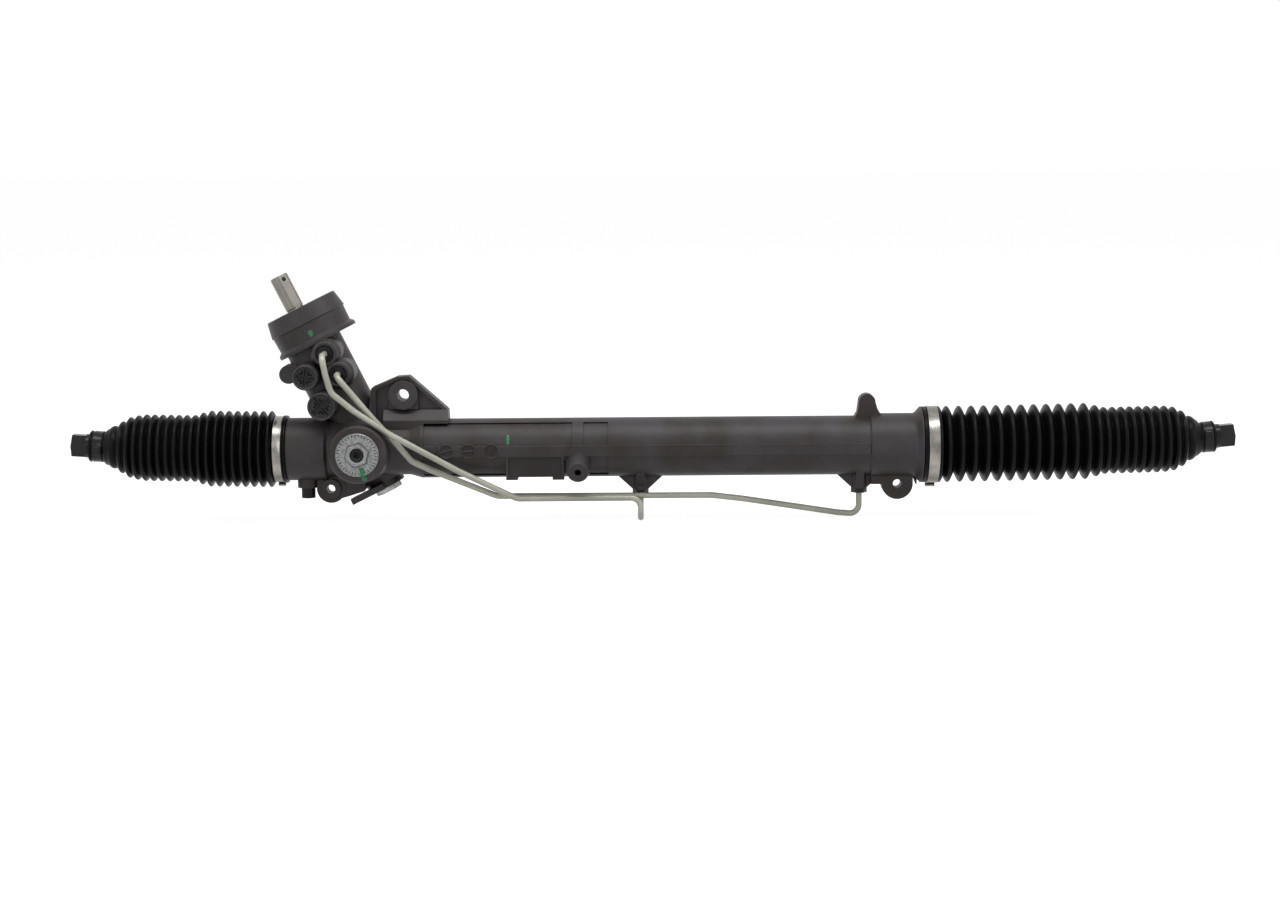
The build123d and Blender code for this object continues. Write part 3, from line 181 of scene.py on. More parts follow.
def surface(name, shades, patch, roughness, grain, depth, metallic=0.0, specular=0.5, lines=None,
            recess_shade_colour=None, corner_shade_and_rust=None, worn=None):
    """Principled surface in two shades with patches and a grain, all sizes in millimetres.

    Patches of the two shades are patch wide. The grain is grain wide and depth deep, and roughness gives
    its lowest and highest value. lines is the axis that turning marks run round. The recess colour is
    painted shade, laid where the piece's recess attribute is 1. The corner colour is painted shade on the
    casting and rust on the shaft, and worn is the colour of rubbed edges.
    """
    material = bpy.data.materials.new(name)
    material.use_nodes = True
    tree = material.node_tree
    shader = tree.nodes["Principled BSDF"]
    shader.inputs["Metallic"].default_value = metallic
    shader.inputs["Specular IOR Level"].default_value = specular
    coords = add_node(tree, "TexCoord").outputs["Object"]
    blotch = add_node(tree, "TexNoise", {"Vector": coords, "Scale": per_metre(patch), "Detail": 5.0})
    shade = add_node(tree, "MapRange", {"Value": blotch.outputs["Fac"], "From Min": 0.35, "From Max": 0.65})
    shade = shade.outputs["Result"]
    if lines:
        home = {"Vector": coords, "Location": lines.to_translation(), "Rotation": lines.to_euler()}
        along = add_node(tree, "Mapping", home, vector_type="TEXTURE").outputs["Vector"]
        coords = add_node(tree, "Mapping", {"Vector": along, "Scale": (0.05, 0.05, 1.0)}).outputs["Vector"]
    relief = add_node(tree, "TexNoise", {"Vector": coords, "Scale": per_metre(grain), "Detail": 3.0})
    relief = relief.outputs["Fac"]
    if lines:
        shade = add_node(tree, "Math", {0: shade, 1: relief}, operation="MULTIPLY").outputs["Value"]
    colour = add_node(tree, "Mix", {"Factor": shade, 6: linear(shades[0]), 7: linear(shades[1])},
                      data_type="RGBA").outputs[2]
    # Painted shade laid into recesses, as deep as the piece's recess attribute says
    if recess_shade_colour:
        recess_shade = add_node(tree, "Attribute", attribute_name="recess_shade").outputs["Fac"]
        colour = add_node(tree, "Mix", {"Factor": recess_shade, 6: colour, 7: linear(recess_shade_colour)},
                          data_type="RGBA").outputs[2]
    edge = add_node(tree, "Bevel", {"Radius": 0.6 * MM}, samples=6)
    # Painted shade in the corners, rust on the shaft, and paler worn edges
    if corner_shade_and_rust:
        colour = add_corner_shade_and_wear(tree, colour, edge, corner_shade_and_rust, worn)
    tree.links.new(colour, shader.inputs["Base Color"])
    rough = add_node(tree, "MapRange", {"Value": relief, "To Min": roughness[0], "To Max": roughness[1]})
    tree.links.new(rough.outputs["Result"], shader.inputs["Roughness"])
    grained = add_node(tree, "Bump", {"Height": relief, "Distance": depth * MM,
                                      "Normal": edge.outputs["Normal"]})
    tree.links.new(grained.outputs["Normal"], shader.inputs["Normal"])
    return material


MATERIALS = {
    # Die-cast aluminium, shot-blasted and dipped in a dark coat: grey with brown patches and a soft sheen,
    # rubbed paler on its edges, with near-black painted shade in its corners and recesses. The blast marks
    # are
    # 0.3 mm wide and are drawn at 1.1 mm, because finer ones don't show
    "cast_alloy": surface("dark_coated_casting", ("#2a2420", "#3a373a"), 38, (0.38, 0.56), 1.1, 0.2, 0.1,
                          0.28, recess_shade_colour="#15120f", corner_shade_and_rust="#110e0c", worn="#5a5048"),
    # Steel bar turned on a lathe and left in the weather: neutral grey with a streaky gleam, and a brown
    # bloom of rust in its corners. Its marks are 0.1 mm apart and are drawn at 1.2 mm, because finer ones
    # don't show
    "shaft_steel": surface("weathered_shaft_steel", ("#716e69", "#837f79"), 25, (0.24, 0.32), 1.2, 0.002,
                           1.0, lines=TOWER_AXIS, corner_shade_and_rust="#3b2012", worn="#96918a"),
    # Steel bar ground along the rack's axis: brighter, with finer marks round it
    "machined_steel": surface("ground_rack_bar", ("#64615f", "#a09c98"), 30, (0.16, 0.28), 0.4, 0.01, 1.0,
                              lines=RACK_AXIS),
    # Case-hardened and honed steel: even grey with a sharp gleam
    "hardened_steel": surface("hardened_steel", ("#5f5d5b", "#8f8c89"), 20, (0.2, 0.34), 0.5, 0.02, 1.0),
    # Lapped bearing steel: pale, and nearly a mirror
    "bearing_steel": surface("bearing_steel", ("#9c9c9c", "#bcbcba"), 20, (0.12, 0.2), 0.5, 0.01, 1.0),
    # Steel with a black phosphate and oil finish: nearly black, and glossy where it is wet
    "dark_steel": surface("phosphated_steel", ("#0e0d0e", "#1a1819"), 12, (0.16, 0.3), 0.8, 0.03, 0.1, 0.22),
    # Steel with bright zinc plating: pale blue-grey, slightly cloudy
    "zinc_steel": surface("zinc_plated_steel", ("#777a78", "#9c9e9a"), 9, (0.26, 0.42), 0.9, 0.03, 1.0),
    # Rolled stainless strip: bright, with fine lines along the strip
    "stainless_band": surface("stainless_strip", ("#6e6b67", "#b5b1aa"), 25, (0.2, 0.32), 0.4, 0.01, 1.0,
                              lines=RACK_AXIS),
    # Steel tube in a pale polymer coat: greenish grey, even, with a soft highlight
    "coated_pipe": surface("coated_steel_tube", ("#a2a295", "#b7b6a8"), 30, (0.24, 0.34), 1.0, 0.02, 0.1),
    # Bare zinc die casting, tumbled: light grey and finely pitted, with painted shade in its marks and
    # grooves
    "die_cast": surface("zinc_die_casting", ("#6c6d6e", "#909191"), 3, (0.36, 0.5), 0.9, 0.05, 0.6,
                        recess_shade_colour="#1d1b19"),
    # Moulded polyamide: black and satin
    "black_plastic": surface("moulded_polyamide", ("#1a1a1b", "#242425"), 8, (0.34, 0.46), 0.9, 0.02,
                             specular=0.15),
    # Moulded polyethylene of the transport plugs: charcoal with a waxy sheen, and painted black shade in its
    # wells
    "cap_plastic": surface("moulded_polyethylene", ("#343333", "#403e3d"), 10, (0.3, 0.42), 0.9, 0.02,
                           specular=0.25, recess_shade_colour="#040404"),
    # Moulded acetal: cream and satin
    "bearing_plastic": surface("acetal", ("#cfc8ae", "#ddd6bf"), 12, (0.4, 0.5), 1.0, 0.01),
    # Bronze-filled PTFE, machined: brown and dull
    "ring_plastic": surface("filled_ptfe", ("#4a3a2a", "#5a4835"), 6, (0.4, 0.5), 0.8, 0.01),
    # Moulded nitrile rubber: black and matt
    "seal_rubber": surface("nitrile_rubber", ("#0c0c0d", "#141415"), 10, (0.5, 0.64), 0.9, 0.02,
                           specular=0.2),
    # Blow-moulded thermoplastic rubber: deep black, dull in the valleys, a thin sheen along each crest
    "bellows_rubber": surface("bellows_rubber", ("#060606", "#0b0b0c"), 30, (0.3, 0.42), 1.5, 0.02,
                              specular=0.09),
    # Assembly paint put on with a stick: flat green
    "green_mark": surface("assembly_paint", ("#155a3a", "#1f7a4d"), 2, (0.35, 0.5), 0.8, 0.05),
    # Smear of thread sealant round the centre plug: dull yellow
    "sealant": surface("thread_sealant", ("#6b6534", "#8a8448"), 1.5, (0.4, 0.55), 0.8, 0.05),
}

# CAD nodes with another finish than their slot's
OWN_FINISH = {
    "input_shaft": "shaft_steel",
    "cylinder_pipe_nuts": "dark_steel",
    "torsion_bar_pin": "dark_steel",
}


def dress_nodes():
    """Gives each CAD node its own finish, or else the material of its slot in the record."""
    slots = {part["node"]: part["material_slot"] for part in frame["record"]["subparts"]}
    for name, piece in NODES.items():
        piece.data.materials.clear()
        piece.data.materials.append(MATERIALS[OWN_FINISH.get(name, slots[name])])


# Meshes

def grid_mesh(name, points, material, closed_v=False, recess_shade=None, sharp=35):
    """Quads over an array points[u, v]; u always closes on itself, v where closed_v says so.

    The recess attribute of the vertices, 0 to 1, is painted shade. Points that meet at a pole are merged.
    """
    rows, columns = points.shape[:2]
    index = np.arange(rows * columns).reshape(rows, columns)
    index = np.vstack([index, index[:1]])
    if closed_v:
        index = np.hstack([index, index[:, :1]])
    quads = np.stack([index[:-1, :-1], index[1:, :-1], index[1:, 1:], index[:-1, 1:]], -1).reshape(-1, 4)
    mesh = bpy.data.meshes.new(name)
    mesh.from_pydata(points.reshape(-1, 3).tolist(), [], quads.tolist())
    if recess_shade is not None:
        layer = mesh.attributes.new("recess_shade", "FLOAT", "POINT")
        layer.data.foreach_set("value", np.ravel(recess_shade).astype(np.float32))
    poles = bmesh.new()
    poles.from_mesh(mesh)
    bmesh.ops.remove_doubles(poles, verts=poles.verts, dist=1e-7)
    poles.to_mesh(mesh)
    poles.free()
    mesh.polygons.foreach_set("use_smooth", np.ones(len(mesh.polygons), dtype=bool))
    mesh.set_sharp_from_angle(angle=radians(sharp))
    mesh.materials.append(MATERIALS[material])
    piece = bpy.data.objects.new(name, mesh)
    bpy.context.scene.collection.objects.link(piece)
    return piece


def turned(name, axis, outline, material, steps=96, sharp=35):
    """Outline (radius, height) carried round the axis's Z, in its own millimetres.

    It closes on itself, or at its two ends where they lie on the axis.
    """
    radius, height = np.array(outline, float).T
    angle = np.linspace(0, 2 * pi, steps, endpoint=False)[:, None]
    points = on_axis(axis, radius * np.cos(angle), radius * np.sin(angle), height)
    return grid_mesh(name, points, material, closed_v=bool(radius[0]), sharp=sharp)


# Bellows

SKIN = 1.4
RINGS_PER_FOLD = 14
STEPS_ROUND = 112
NECK_REACH = 51.0       # from the ball's centre to the bellows' neck, along the tie rod


def left_ridges():
    """(radius, distance from the seat, depth of the fold) of each crest, from the clamp outwards."""
    crests = [(38.1, 17.1 + 8.6 * i, 6.6) for i in range(8)] + [(36.0, 85.9, 5.6)]
    crests += [(33.4, 85.9 + 8.07 * i, 4.4) for i in range(1, 8)]
    return crests + [(32.3, 150.5, 4.2), (30.3, 158.5, 4.0), (25.8, 166.6, 3.6), (21.2, 174.7, 2.6)]


def right_ridges():
    """As left_ridges, with the wide folds of the longer bellows."""
    crests = [(38.2, 25.8 + 12.5 * i, 10.2) for i in range(12)] + [(35.7, 174.7, 5.6)]
    crests += [(33.5, 174.7 + 8.62 * i, 4.4) for i in range(1, 8)]
    return crests + [(33.2, 243.7, 4.4), (32.0, 252.3, 4.2), (27.8, 260.9, 4.0), (22.0, 269.2, 2.8)]


def fold_profile(ridges, first, last):
    """(radius, distance) of the skin from valley first to valley last; valley i lies before ridge i.

    The radius is crest - depth * (1 - |cos(pi * phase)| ** 1.25), with a crest at each whole phase: rounded
    crests, and sides that run nearly straight into a narrow valley.
    """
    crests, places, depths = np.array(ridges).T
    index = np.arange(len(ridges))
    phase = np.linspace(first - 0.5, last - 0.5, int((last - first) * RINGS_PER_FOLD) + 1)
    along = np.interp(phase, index, places)
    along += np.minimum(phase, 0) * (places[1] - places[0])
    along += np.maximum(phase - index[-1], 0) * (places[-1] - places[-2])
    fold = 1 - np.abs(np.cos(pi * phase)) ** 1.25
    return np.stack([np.interp(phase, index, crests) - np.interp(phase, index, depths) * fold, along], -1)


class Bellows:
    """One bellows: its seat, the way it runs, its folds and how its centre line climbs to the tie rod."""

    def __init__(self, side, seat_x, way, ball_x, tilt, ridges, collar):
        self.side, self.seat_x, self.way = side, seat_x, way
        self.ridges, self.collar = ridges, collar
        self.ball, self.tilt = abs(ball_x - seat_x), tilt
        self.neck = self.ball + NECK_REACH * cos(tilt)
        self.climb = NECK_REACH * sin(tilt)

    def centre(self, distance):
        """Height of the centre line: climb * (distance / neck) ** 1.4, then straight along the tie rod."""
        bent = self.climb * (np.clip(distance, 0, self.neck) / self.neck) ** 1.4
        return bent + np.maximum(distance - self.neck, 0) * tan(self.tilt)

    def skin(self, part, profile, span):
        """Closed skin SKIN thick under the profile, its rings square to the centre line.

        The places in span are worked out as points on the rack's axis, and not used further.
        """
        outline = np.concatenate([profile, profile[::-1] - [SKIN, 0]])
        radius, distance = outline.T
        slope = np.arctan2(self.centre(distance + 0.5) - self.centre(distance - 0.5), 1.0)
        angle = np.linspace(0, 2 * pi, STEPS_ROUND, endpoint=False)[:, None] * -self.way
        high = radius * np.cos(angle)
        x = self.seat_x + self.way * (distance - high * np.sin(slope))
        points = gear_points(x, radius * np.sin(angle), self.centre(distance) + high * np.cos(slope))
        piece = grid_mesh(f"bellows_{self.side}_{part}", points, "bellows_rubber", closed_v=True, sharp=50)
        ends = [tuple(gear_points(self.seat_x + self.way * place, 0, 0)) for place in span]
        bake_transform(piece)
        return piece

    def build(self, cut_ball, cut_seat):
        """Three lengths that meet in valleys: housing to rack, rack to ball seat, ball seat to tie rod."""
        to_ball = fold_profile(self.ridges, 0, cut_ball)
        to_seat = fold_profile(self.ridges, cut_ball, cut_seat)
        to_rod = fold_profile(self.ridges, cut_seat, len(self.ridges))
        end = to_rod[-1, 1]
        neck = np.array([(17.8, 5.4), (15.6, 7.5), (14.9, 9.0), (14.6, 11.0), (14.6, 19.6), (15.6, 20.2),
                         (15.7, 21.6), (14.9, 22.4)]) + [0, end - 3.0]
        first = self.skin("rack", np.concatenate([self.collar, to_ball]),
                          (self.collar[-1][1], self.ball))
        self.skin("ball", to_seat, (self.ball, to_seat[-1, 1]))
        self.skin("rod", np.concatenate([to_rod, neck]),
                  (to_seat[-1, 1], self.neck))
        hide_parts(f"bellows_{self.side}")


def add_bellows():
    """Both bellows, each with the collar (radius, distance) that its large clamp holds."""
    left_collar = [(31.4, 0.2), (33.6, 0.7), (33.7, 2.2), (32.9, 2.7), (33.8, 3.3), (33.8, 4.4), (32.3, 4.8),
                   (32.3, 12.5), (33.4, 12.9)]
    right_collar = [(36.0, 0.3), (37.9, 0.9), (38.0, 3.6), (37.7, 4.2), (37.7, 15.8), (38.2, 16.3),
                    (38.0, 18.0), (36.4, 19.2)]
    Bellows("left", LEFT_SEAT_X, -1, LEFT_BALL_X, LEFT_TILT, left_ridges(), left_collar).build(14, 17)
    Bellows("right", RIGHT_SEAT_X, 1, RIGHT_BALL_X, RIGHT_TILT, right_ridges(), right_collar).build(18, 21)


# Clamps

EAR = (3.9, 2.1)        # half width and half height of a folded ear
EAR_DROP = 1.9          # its middle under the band
EAR_INSIDE = 0.72       # size of its inner side, as a part of its outer one
NECK_BAND_R = 15.5
PLATE_PLACE = 60.3
PLATE_TURN = radians(-100)


def folded_ear(name, x, radius, width):
    """Loop of strip under a band, width long: one turn of an ellipse, pinched at its foot.

    Its width at a depth low under the band is the ellipse's times 1 - 0.35 exp(-((low - 0.6) / 0.8) ** 2).
    """
    turn = np.linspace(0, 2 * pi, 28, endpoint=False)[:, None]
    across = np.linspace(-width / 2, width / 2, 5)
    low = EAR_DROP + EAR[1] * np.sin(turn)
    pinch = 1 - 0.35 * np.exp(-((low - 0.6) / 0.8) ** 2)
    wall = np.repeat([1.0, EAR_INSIDE], len(across))
    across = np.concatenate([across, across[::-1]])
    side = EAR[0] * np.cos(turn) * pinch * wall
    points = gear_points(x + across, side, -(radius + EAR_DROP + (low - EAR_DROP) * wall))
    return grid_mesh(name, points[::-1], "stainless_band", closed_v=True, sharp=60)


def add_large_clamps():
    """Stainless bands with rolled rims, each closed by a folded ear underneath."""
    for side, x, way, radius, start, end in (("left", LEFT_SEAT_X, -1, 32.35, 4.5, 12.7),
                                             ("right", RIGHT_SEAT_X, 1, 37.75, 5.0, 15.5)):
        band = [(radius, start), (radius + 0.9, start), (radius + 1.0, start + 0.5),
                (radius + 0.75, start + 1.1), (radius + 0.75, end - 1.1), (radius + 1.0, end - 0.5),
                (radius + 0.9, end), (radius, end)]
        axis = axis_frame((x, 0, 0), (way, 0, 0))
        piece = turned(f"large_band_{side}", axis, band, "stainless_band", 128)
        middle = x + way * ((start + end) / 2 - 1.0)
        ear = folded_ear(f"large_ear_{side}", middle, radius + 0.7, end - start - 1.2)
        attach(piece, "housing")
        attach(ear, "housing")
        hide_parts(f"large_clamp_{side}")


def lock_plate(name, rod):
    """Lock plate on a small clamp: a superellipse of power 6, 7.2 by 9.6 mm, bent round the band.

    It stands 1.5 mm over the band, its front slightly domed.
    """
    turn = np.linspace(0, 2 * pi, 48, endpoint=False)[:, None]
    scale = np.array([0.0, 0.5, 0.93, 1.0, 1.0, 0.0])
    lift = np.array([1.5, 1.5, 1.45, 1.2, -0.3, -0.3])
    squared = (np.abs(np.cos(turn)) ** 6 + np.abs(np.sin(turn)) ** 6) ** (-1 / 6)
    along = PLATE_PLACE + 3.6 * squared * np.cos(turn) * scale
    bend = PLATE_TURN + 4.8 * squared * np.sin(turn) * scale / NECK_BAND_R
    radius = NECK_BAND_R + lift
    points = on_axis(rod, radius * np.cos(bend), radius * np.sin(bend), along + 0 * lift)
    return grid_mesh(name, points, "dark_steel", sharp=40)


def add_small_clamps():
    """Dark spring bands on the bellows' necks, with their lock plates."""
    for side, rod in (("left", LEFT_ROD), ("right", RIGHT_ROD)):
        band = [(14.5, 56.0), (15.6, 56.1), (15.7, 56.6), (NECK_BAND_R, 57.2), (NECK_BAND_R, 63.8),
                (15.7, 64.4), (15.6, 64.9), (14.5, 65.0)]
        piece = turned(f"small_band_{side}", rod, band, "dark_steel", 96)
        plate = lock_plate(f"small_plate_{side}", rod)
        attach(piece, f"tie_rod_{side}")
        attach(plate, f"tie_rod_{side}")
        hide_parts(f"small_clamp_{side}")


# Yoke adjuster and port plugs

MARKS = 36              # on the adjuster's face
HEX_HALF = 10.2         # from the hexagon's middle to its flats
CAP_FACE = 40.5         # front of a transport plug's cap, before the tower's axis
CAP_BACK = 36.05
RIB = 1.3
GROOVE = 1.3
FLOOR_DEPTH = 1.3
SLOT_DEPTH = 2.2


def past(value, edge, width=0.4):
    """0 below the edge and 1 above it, rising over width."""
    return np.clip((value - edge) / width + 0.5, 0, 1)


def relief_disc(name, axis, rim, face, base, relief, material, steps, rings):
    """Closed disc of radius rim, from base up to face plus the height that relief(x, y) gives each point.

    relief also gives the painted shade of the point, for how deep it lies.
    """
    angle = np.linspace(0, 2 * pi, steps, endpoint=False)[:, None]
    radius = np.concatenate([np.linspace(0, rim, rings), [rim, rim, 0.0]])
    x, y = radius * np.cos(angle), radius * np.sin(angle)
    height, recess_shade = relief(x, y)
    height = face + height
    height[:, rings:] = [face - 0.7, base, base]
    recess_shade[:, rings:] = 0
    points = on_axis(axis, x, y, height)
    return grid_mesh(name, points[::-1], material, recess_shade=recess_shade[::-1], sharp=32)


def adjuster_relief(x, y):
    """Hexagon 3 mm high in a dark groove, radial marks, a rim bead and the well of the centre plug.

    The hexagon is where radius * cos(angle to the nearest flat's middle) is under HEX_HALF.
    """
    radius, angle = np.hypot(x, y), np.arctan2(y, x)
    sector = (angle - radians(16)) % (pi / 3) - pi / 6
    flat = radius * np.cos(sector)
    height = 3.0 * (1 - past(flat, HEX_HALF, 0.5)) - 0.4 * (1 - past(radius, 7.6, 0.6))
    height -= 7.6 * (1 - past(radius, 6.85, 0.2))
    mark = np.abs((angle * MARKS / (2 * pi)) % 1 - 0.5) / MARKS * 2 * pi * radius
    mark = (1 - past(mark, 0.36, 0.3)) * past(radius, 17.4) * (1 - past(radius, 19.7))
    groove = np.exp(-((flat - HEX_HALF - 0.7) / 0.5) ** 2) * past(flat, HEX_HALF, 0.2)
    bead = past(radius, 20.4, 0.3)
    height += 0.35 * bead - 0.7 * past(radius, 21.0, 0.7) - 0.5 * mark - 0.15 * groove
    foot = np.exp(-((radius - 20.1) / 0.25) ** 2)
    # Painted shade: most in the marks, less in the groove round the hexagon, least at the bead's foot
    return height, np.clip(0.9 * mark + 0.55 * groove + 0.25 * foot, 0, 1)


def plug_relief(rim, turn, slots):
    """Floor inside a rounded rim, with a cross of slots and an angled groove in each of its four corners.

    turn is how far the cross is turned, and slots are the half widths of its two bars. Ribs RIB wide part
    the bars from the grooves, which are GROOVE wide.
    """
    def relief(x, y):
        radius = np.hypot(x, y)
        a = np.abs(x * cos(turn) + y * sin(turn)) - slots[0]
        b = np.abs(y * cos(turn) - x * sin(turn)) - slots[1]
        inside = 1 - past(radius, rim - 3.6)
        near, far = np.minimum(a, b), np.maximum(a, b)
        bars = (1 - past(near, 0.0)) * inside
        grooves = past(near, RIB) * (1 - past(near, RIB + GROOVE)) * (1 - past(far, 5.4)) * inside
        cut = np.maximum(bars, grooves)
        floor = 1 - past(radius, rim - 2.2, 0.5)
        crown = -0.8 * ((radius - (rim - 1.1)) / 1.1) ** 2 * (1 - floor)
        height = crown * past(radius, rim - 2.3) - floor * (FLOOR_DEPTH + SLOT_DEPTH * cut)
        # Painted shade: black in the slots and grooves, and 0.7 of it on the sunk floor
        return height, np.maximum(0.7 * floor, cut)
    return relief


def add_adjuster():
    """Die-cast disc with its hexagon, and the black plug with a hole in its middle."""
    disc = relief_disc("adjuster_disc", YOKE_AXIS, 21.35, ADJUSTER_FACE, 40.2, adjuster_relief, "die_cast",
                       540, 130)
    outline = [(0, 48.2), (6.7, 48.2), (6.7, 58.4), (6.2, 58.9), (5.5, 59.0), (5.1, 58.6), (3.4, 58.3),
               (2.9, 57.9), (2.8, 53.0), (0, 53.0)]
    plug = turned("adjuster_centre_plug", YOKE_AXIS, outline, "black_plastic")
    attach(disc, "housing")
    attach(plug, "housing")
    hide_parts("yoke_adjuster")
    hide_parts("adjuster_plug")


def add_port_plugs():
    """Two transport plugs in the hose ports, each a cap with a stem in the port."""
    for name, port, rim, turn, slots in (("pressure_port_plug", (-14.5, 90.7), 12.5, -8, (1.2, 1.2)),
                                         ("return_port_plug", (-13.4, 58.1), 13.9, 38, (0.9, 1.8))):
        axis = tower_port(*port)
        relief = plug_relief(rim, radians(turn), slots)
        cap = relief_disc(f"{name}_cap", axis, rim, CAP_FACE, CAP_BACK, relief, "cap_plastic", 360, 120)
        stem_r = rim - 4.6
        outline = [(0, 26.0), (stem_r - 1, 26.0), (stem_r, 26.6), (stem_r, 36.2), (0, 36.2)]
        stem = turned(f"{name}_stem", axis, outline, "cap_plastic", 64)
        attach(cap, "housing")
        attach(stem, "housing")
        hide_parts(name)


# Cast relief on the front of the tube

BAND = (-5.8, 5.0)      # lower and upper edge
BAND_ENDS = (74.3, 203.0)
BAND_FACE = 30.7
BURIED = 25.8           # a depth inside the casting
DIALS = (83.0, 104.9, 127.6)
DIAL_TURNS = (radians(17), radians(4), radians(72))
DIAL_R = 7.5
DIAL_WELL_R = 6.0
LABEL = (141.9, 199.3)
LABEL_FOOT = -26.4
LABEL_FACE = 30.6
FRAME_WIDTH = 2.2
GRID = 0.4              # spacing of the points on the relief


def raised_field(name, x, z, height, recess_shade, back):
    """Closed slab whose front stands height(x, z) in front of the rack's axis; its flat back lies at back.

    Each column is a loop: down the front, then up the back. The two end columns shrink to a point.
    """
    # The second table is the painted shade of each point
    front, dark = height(x, z[:, None]), recess_shade(x, z[:, None])
    depth = np.concatenate([front, np.full((2, len(x)), back)])
    level = np.concatenate([z, [z[-1], z[0]]])[:, None] + 0 * x
    dark = np.concatenate([dark, np.zeros((2, len(x)))])
    middle = np.full((len(level), 1), (z[0] + z[-1]) / 2)
    inner = np.full_like(middle, back)
    nothing = np.zeros_like(middle)
    depth = np.hstack([inner, depth, inner])
    level = np.hstack([middle, level, middle])
    along = np.concatenate([x[:1], x, x[-1:]])
    piece = grid_mesh(name, gear_points(along, -depth, level), "cast_alloy",
                      recess_shade=np.hstack([nothing, dark, nothing]), sharp=40)
    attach(piece, "housing")
    return piece


def add_date_band():
    """Band with three dials, each a ring round a well that a straight pointer crosses."""
    def dial(x, z):
        """Distance from the middle of the nearest dial, and from its pointer's line."""
        near = np.array(DIALS)[np.abs(np.array(DIALS)[:, None] - x).argmin(0)]
        turn = np.interp(near, DIALS, DIAL_TURNS)
        return np.hypot(x - near, z), np.abs(z * np.cos(turn) - (x - near) * np.sin(turn))

    def height(x, z):
        radius, pointer = dial(x, z)
        strip = (1 - past(z, BAND[1], 0.8)) * past(z, BAND[0], 0.8)
        ring = 1 - past(radius, DIAL_R, 0.8)
        well = (1 - past(radius, DIAL_WELL_R, 0.5)) * past(pointer, 0.8, 0.4)
        return BURIED + (BAND_FACE - BURIED) * np.maximum(strip, ring) + 0.8 * ring - 1.15 * well

    # Painted shade in each sunk well, but not along its pointer
    def recess_shade(x, z):
        radius, pointer = dial(x, z)
        return 0.6 * (1 - past(radius, DIAL_WELL_R + 0.1, 0.5)) * past(pointer, 0.8, 0.4)

    raised_field("date_band", np.arange(*BAND_ENDS, GRID), np.arange(9.0, -9.1, -GRID), height, recess_shade,
                 BURIED - 0.5)


def add_label_frame():
    """Frame on three sides of a flat panel, which is sunk by 1.6 mm."""
    left, right = LABEL[0] + 0.2, LABEL[1] - 0.2

    def inside(x, z):
        return (past(x, left + FRAME_WIDTH) * (1 - past(x, right - FRAME_WIDTH))
                * (1 - past(z, BAND[0] - 1.0)))

    def height(x, z):
        return LABEL_FACE - 1.6 * inside(x, z)

    # Painted shade over the sunk panel, deepest against the frame
    def recess_shade(x, z):
        edge = np.minimum(x - left - FRAME_WIDTH, right - FRAME_WIDTH - x)
        edge = np.minimum(edge, BAND[0] - 1.0 - z)
        return inside(x, z) * (0.7 + 0.3 * np.exp(-edge ** 2))

    along, up = np.arange(left, right + 0.1, GRID), np.arange(BAND[0] + 0.3, LABEL_FOOT, -GRID)
    raised_field("label_frame", along, up, height, recess_shade, 27.2)


# Paint

def dab(name, face, material="green_mark"):
    """Brushed dab 0.1 mm thick, laid on a face.

    Its edge is a superellipse of power 3 times 1 + 0.06 sin(3 angle + 1) + 0.04 sin(7 angle).
    face(u, v, lift) gives points of the gear's frame, u and v from -1 to 1 and lift in millimetres.
    """
    angle = np.linspace(0, 2 * pi, 60, endpoint=False)[:, None]
    reach = np.concatenate([np.linspace(0, 1, 9), [1.0, 0.0]])
    lift = np.concatenate([0.1 - 0.06 * np.linspace(0, 1, 9) ** 4, [-0.2, -0.2]])
    square = (np.abs(np.cos(angle)) ** 3 + np.abs(np.sin(angle)) ** 3) ** (-1 / 3)
    edge = reach * square * (1 + 0.06 * np.sin(3 * angle + 1) + 0.04 * np.sin(7 * angle))
    x, y, z = face(edge * np.cos(angle), edge * np.sin(angle), lift)
    piece = grid_mesh(name, gear_points(x, y, z)[::-1], material, sharp=60)
    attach(piece, "housing")
    return piece


def on_tube(u, v, lift):
    """Spot 3.2 by 9.6 mm on the round front of the tube."""
    x, z = 144.0 + 1.6 * u, 10.5 + 4.8 * v
    return x, -np.sqrt((PANEL_R + lift) ** 2 - z ** 2), z


def on_yoke(shift, depth, height, spread):
    """Face before the yoke: its middle lies shift and height off the axis, and spread carries u and v."""
    def face(u, v, lift):
        x = YOKE_X + shift + spread[0] * u + spread[1] * v
        return x, -(depth + lift), height + spread[2] * v
    return face


def on_cover(u, v, lift):
    """Spot 4.4 by 6.4 mm on the cover's round wall."""
    turn, high = radians(-86) + 2.2 * u / COVER_R, 126.5 + 3.2 * v
    across = COVER_OFFSET + (COVER_R + lift) * np.cos(turn)
    depth = PINION_Y + (COVER_R + lift) * np.sin(turn)
    return (across * cos(TOWER_LEAN) - high * sin(TOWER_LEAN), depth,
            across * sin(TOWER_LEAN) + high * cos(TOWER_LEAN))


def round_plug(u, v, lift):
    """Arc over the centre plug, 1 mm wide."""
    angle, radius = radians(92) - 0.62 * u, 7.75 + 0.5 * v
    return YOKE_X + radius * np.cos(angle), -(59.65 + lift), radius * np.sin(angle)


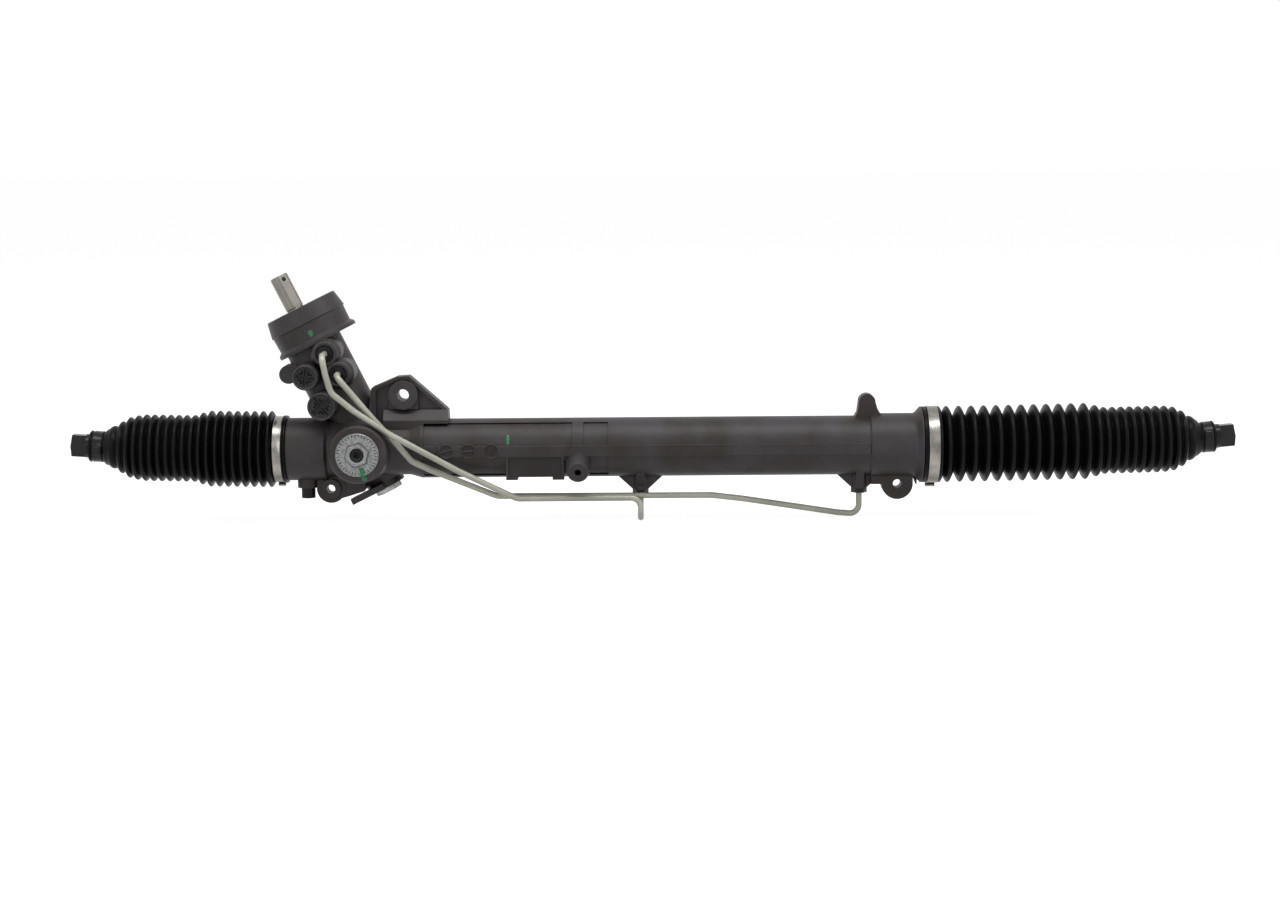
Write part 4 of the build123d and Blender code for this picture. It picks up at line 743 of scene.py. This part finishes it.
def add_paint():
    """Green dabs on tube, adjuster and cover, and the sealant on the adjuster."""
    dab("mark_tube", on_tube)
    dab("mark_disc", on_yoke(4.7, ADJUSTER_FACE, -15.4, (2.5, -0.8, 3.7)))
    dab("mark_disc_rim", on_yoke(5.4, ADJUSTER_FACE + 0.3, -19.9, (2.5, -0.2, 1.2)))
    dab("mark_boss", on_yoke(6.4, 55.5, -23.4, (2.8, -0.6, 2.1)))
    dab("mark_cover", on_cover)
    dab("sealant_smear", round_plug, "sealant")


# Floor, light and camera

SKY = 0.2
FLOOR_GLOW = 0.9


def seen_directly(tree):
    """1 for rays from the camera, off gloss or through glass, and 0 for the rays that light the object."""
    path = add_node(tree, "LightPath")
    first = add_node(tree, "Math", {0: path.outputs["Is Camera Ray"], 1: path.outputs["Is Glossy Ray"]},
                     operation="MAXIMUM")
    return add_node(tree, "Math", {0: first.outputs["Value"], 1: path.outputs["Is Transmission Ray"]},
                    operation="MAXIMUM").outputs["Value"]


def add_stage():
    """White floor that keeps a soft shadow, under a white studio sky that lights at SKY."""
    low = CAD_BOX[0][2] - 0.001
    corners = np.array([(-30, -10), (30, -10), (30, 50), (-30, 50)], float)
    mesh = bpy.data.meshes.new("floor")
    mesh.from_pydata(np.column_stack([corners, np.full(4, low)]).tolist(), [], [(0, 1, 2, 3)])
    floor = bpy.data.objects.new("floor", mesh)
    bpy.context.scene.collection.objects.link(floor)
    paper = bpy.data.materials.new("white_paper")
    paper.use_nodes = True
    tree = paper.node_tree
    shader = tree.nodes["Principled BSDF"]
    shader.inputs["Base Color"].default_value = linear("#b4b4b4")
    shader.inputs["Roughness"].default_value = 0.9
    shader.inputs["Specular IOR Level"].default_value = 0.0
    shader.inputs["Emission Color"].default_value = (1, 1, 1, 1)
    glow = add_node(tree, "Math", {0: seen_directly(tree), 1: FLOOR_GLOW}, operation="MULTIPLY")
    tree.links.new(glow.outputs["Value"], shader.inputs["Emission Strength"])
    mesh.materials.append(paper)
    world = bpy.data.worlds.new("studio")
    world.use_nodes = True
    bpy.context.scene.world = world
    tree = world.node_tree
    sky = add_node(tree, "MapRange", {"Value": seen_directly(tree), "To Min": SKY, "To Max": 1.0})
    tree.nodes["Background"].inputs["Color"].default_value = (1, 1, 1, 1)
    tree.links.new(sky.outputs["Result"], tree.nodes["Background"].inputs["Strength"])


def soft_lamp(name, offset, size, watts):
    """Rectangular lamp at an offset in metres from the middle of the gear, aimed at it."""
    middle = Vector(gear_points(274, 0, 0))
    light = bpy.data.lights.new(name, "AREA")
    light.shape = "RECTANGLE"
    light.size, light.size_y = size
    light.energy = watts
    lamp = bpy.data.objects.new(name, light)
    bpy.context.scene.collection.objects.link(lamp)
    lamp.location = middle + Vector(offset)
    lamp.rotation_euler = (-Vector(offset)).to_track_quat("-Z", "Y").to_euler()


def add_lamps():
    """A wide lamp overhead, weak ones in front and beside it, and two upright strips that gleam on steel."""
    soft_lamp("overhead", (0, -0.6, 1.9), (2.6, 0.7), 36)
    soft_lamp("front", (-0.3, -2.6, 1.1), (2.4, 1.0), 5)
    soft_lamp("left", (-2.2, -0.8, 0.8), (1.2, 1.4), 4)
    soft_lamp("right", (2.2, -0.8, 0.8), (1.2, 1.4), 4)
    soft_lamp("strip_left", (-1.4, -2.0, 0.6), (0.28, 1.6), 6)
    soft_lamp("strip_right", (2.0, -1.2, 0.6), (0.28, 1.6), 6)


def add_camera():
    """Camera VIEW_DISTANCE from the target, whose pixel is a millimetre wide at the target."""
    data = bpy.data.cameras.new("camera")
    data.sensor_width = SENSOR
    data.lens = SENSOR * VIEW_DISTANCE / IMAGE_WIDTH
    data.clip_end = 50
    camera = bpy.data.objects.new("camera", data)
    bpy.context.scene.collection.objects.link(camera)
    back = Vector((0, -cos(VIEW_ELEVATION), sin(VIEW_ELEVATION)))
    camera.location = Vector(gear_points(*VIEW_TARGET)) + back * VIEW_DISTANCE * MM
    aim = back.to_track_quat("Z", "Y").to_matrix().to_4x4()
    camera.rotation_euler = (aim @ Matrix.Rotation(VIEW_ROLL, 4, "Z")).to_euler()
    bpy.context.scene.camera = camera


dress_nodes()
add_bellows()
add_large_clamps()
add_small_clamps()
add_adjuster()
add_port_plugs()
add_date_band()
add_label_frame()
add_paint()
add_stage()
add_lamps()
add_camera()
bpy.context.scene.view_settings.view_transform = "Standard"
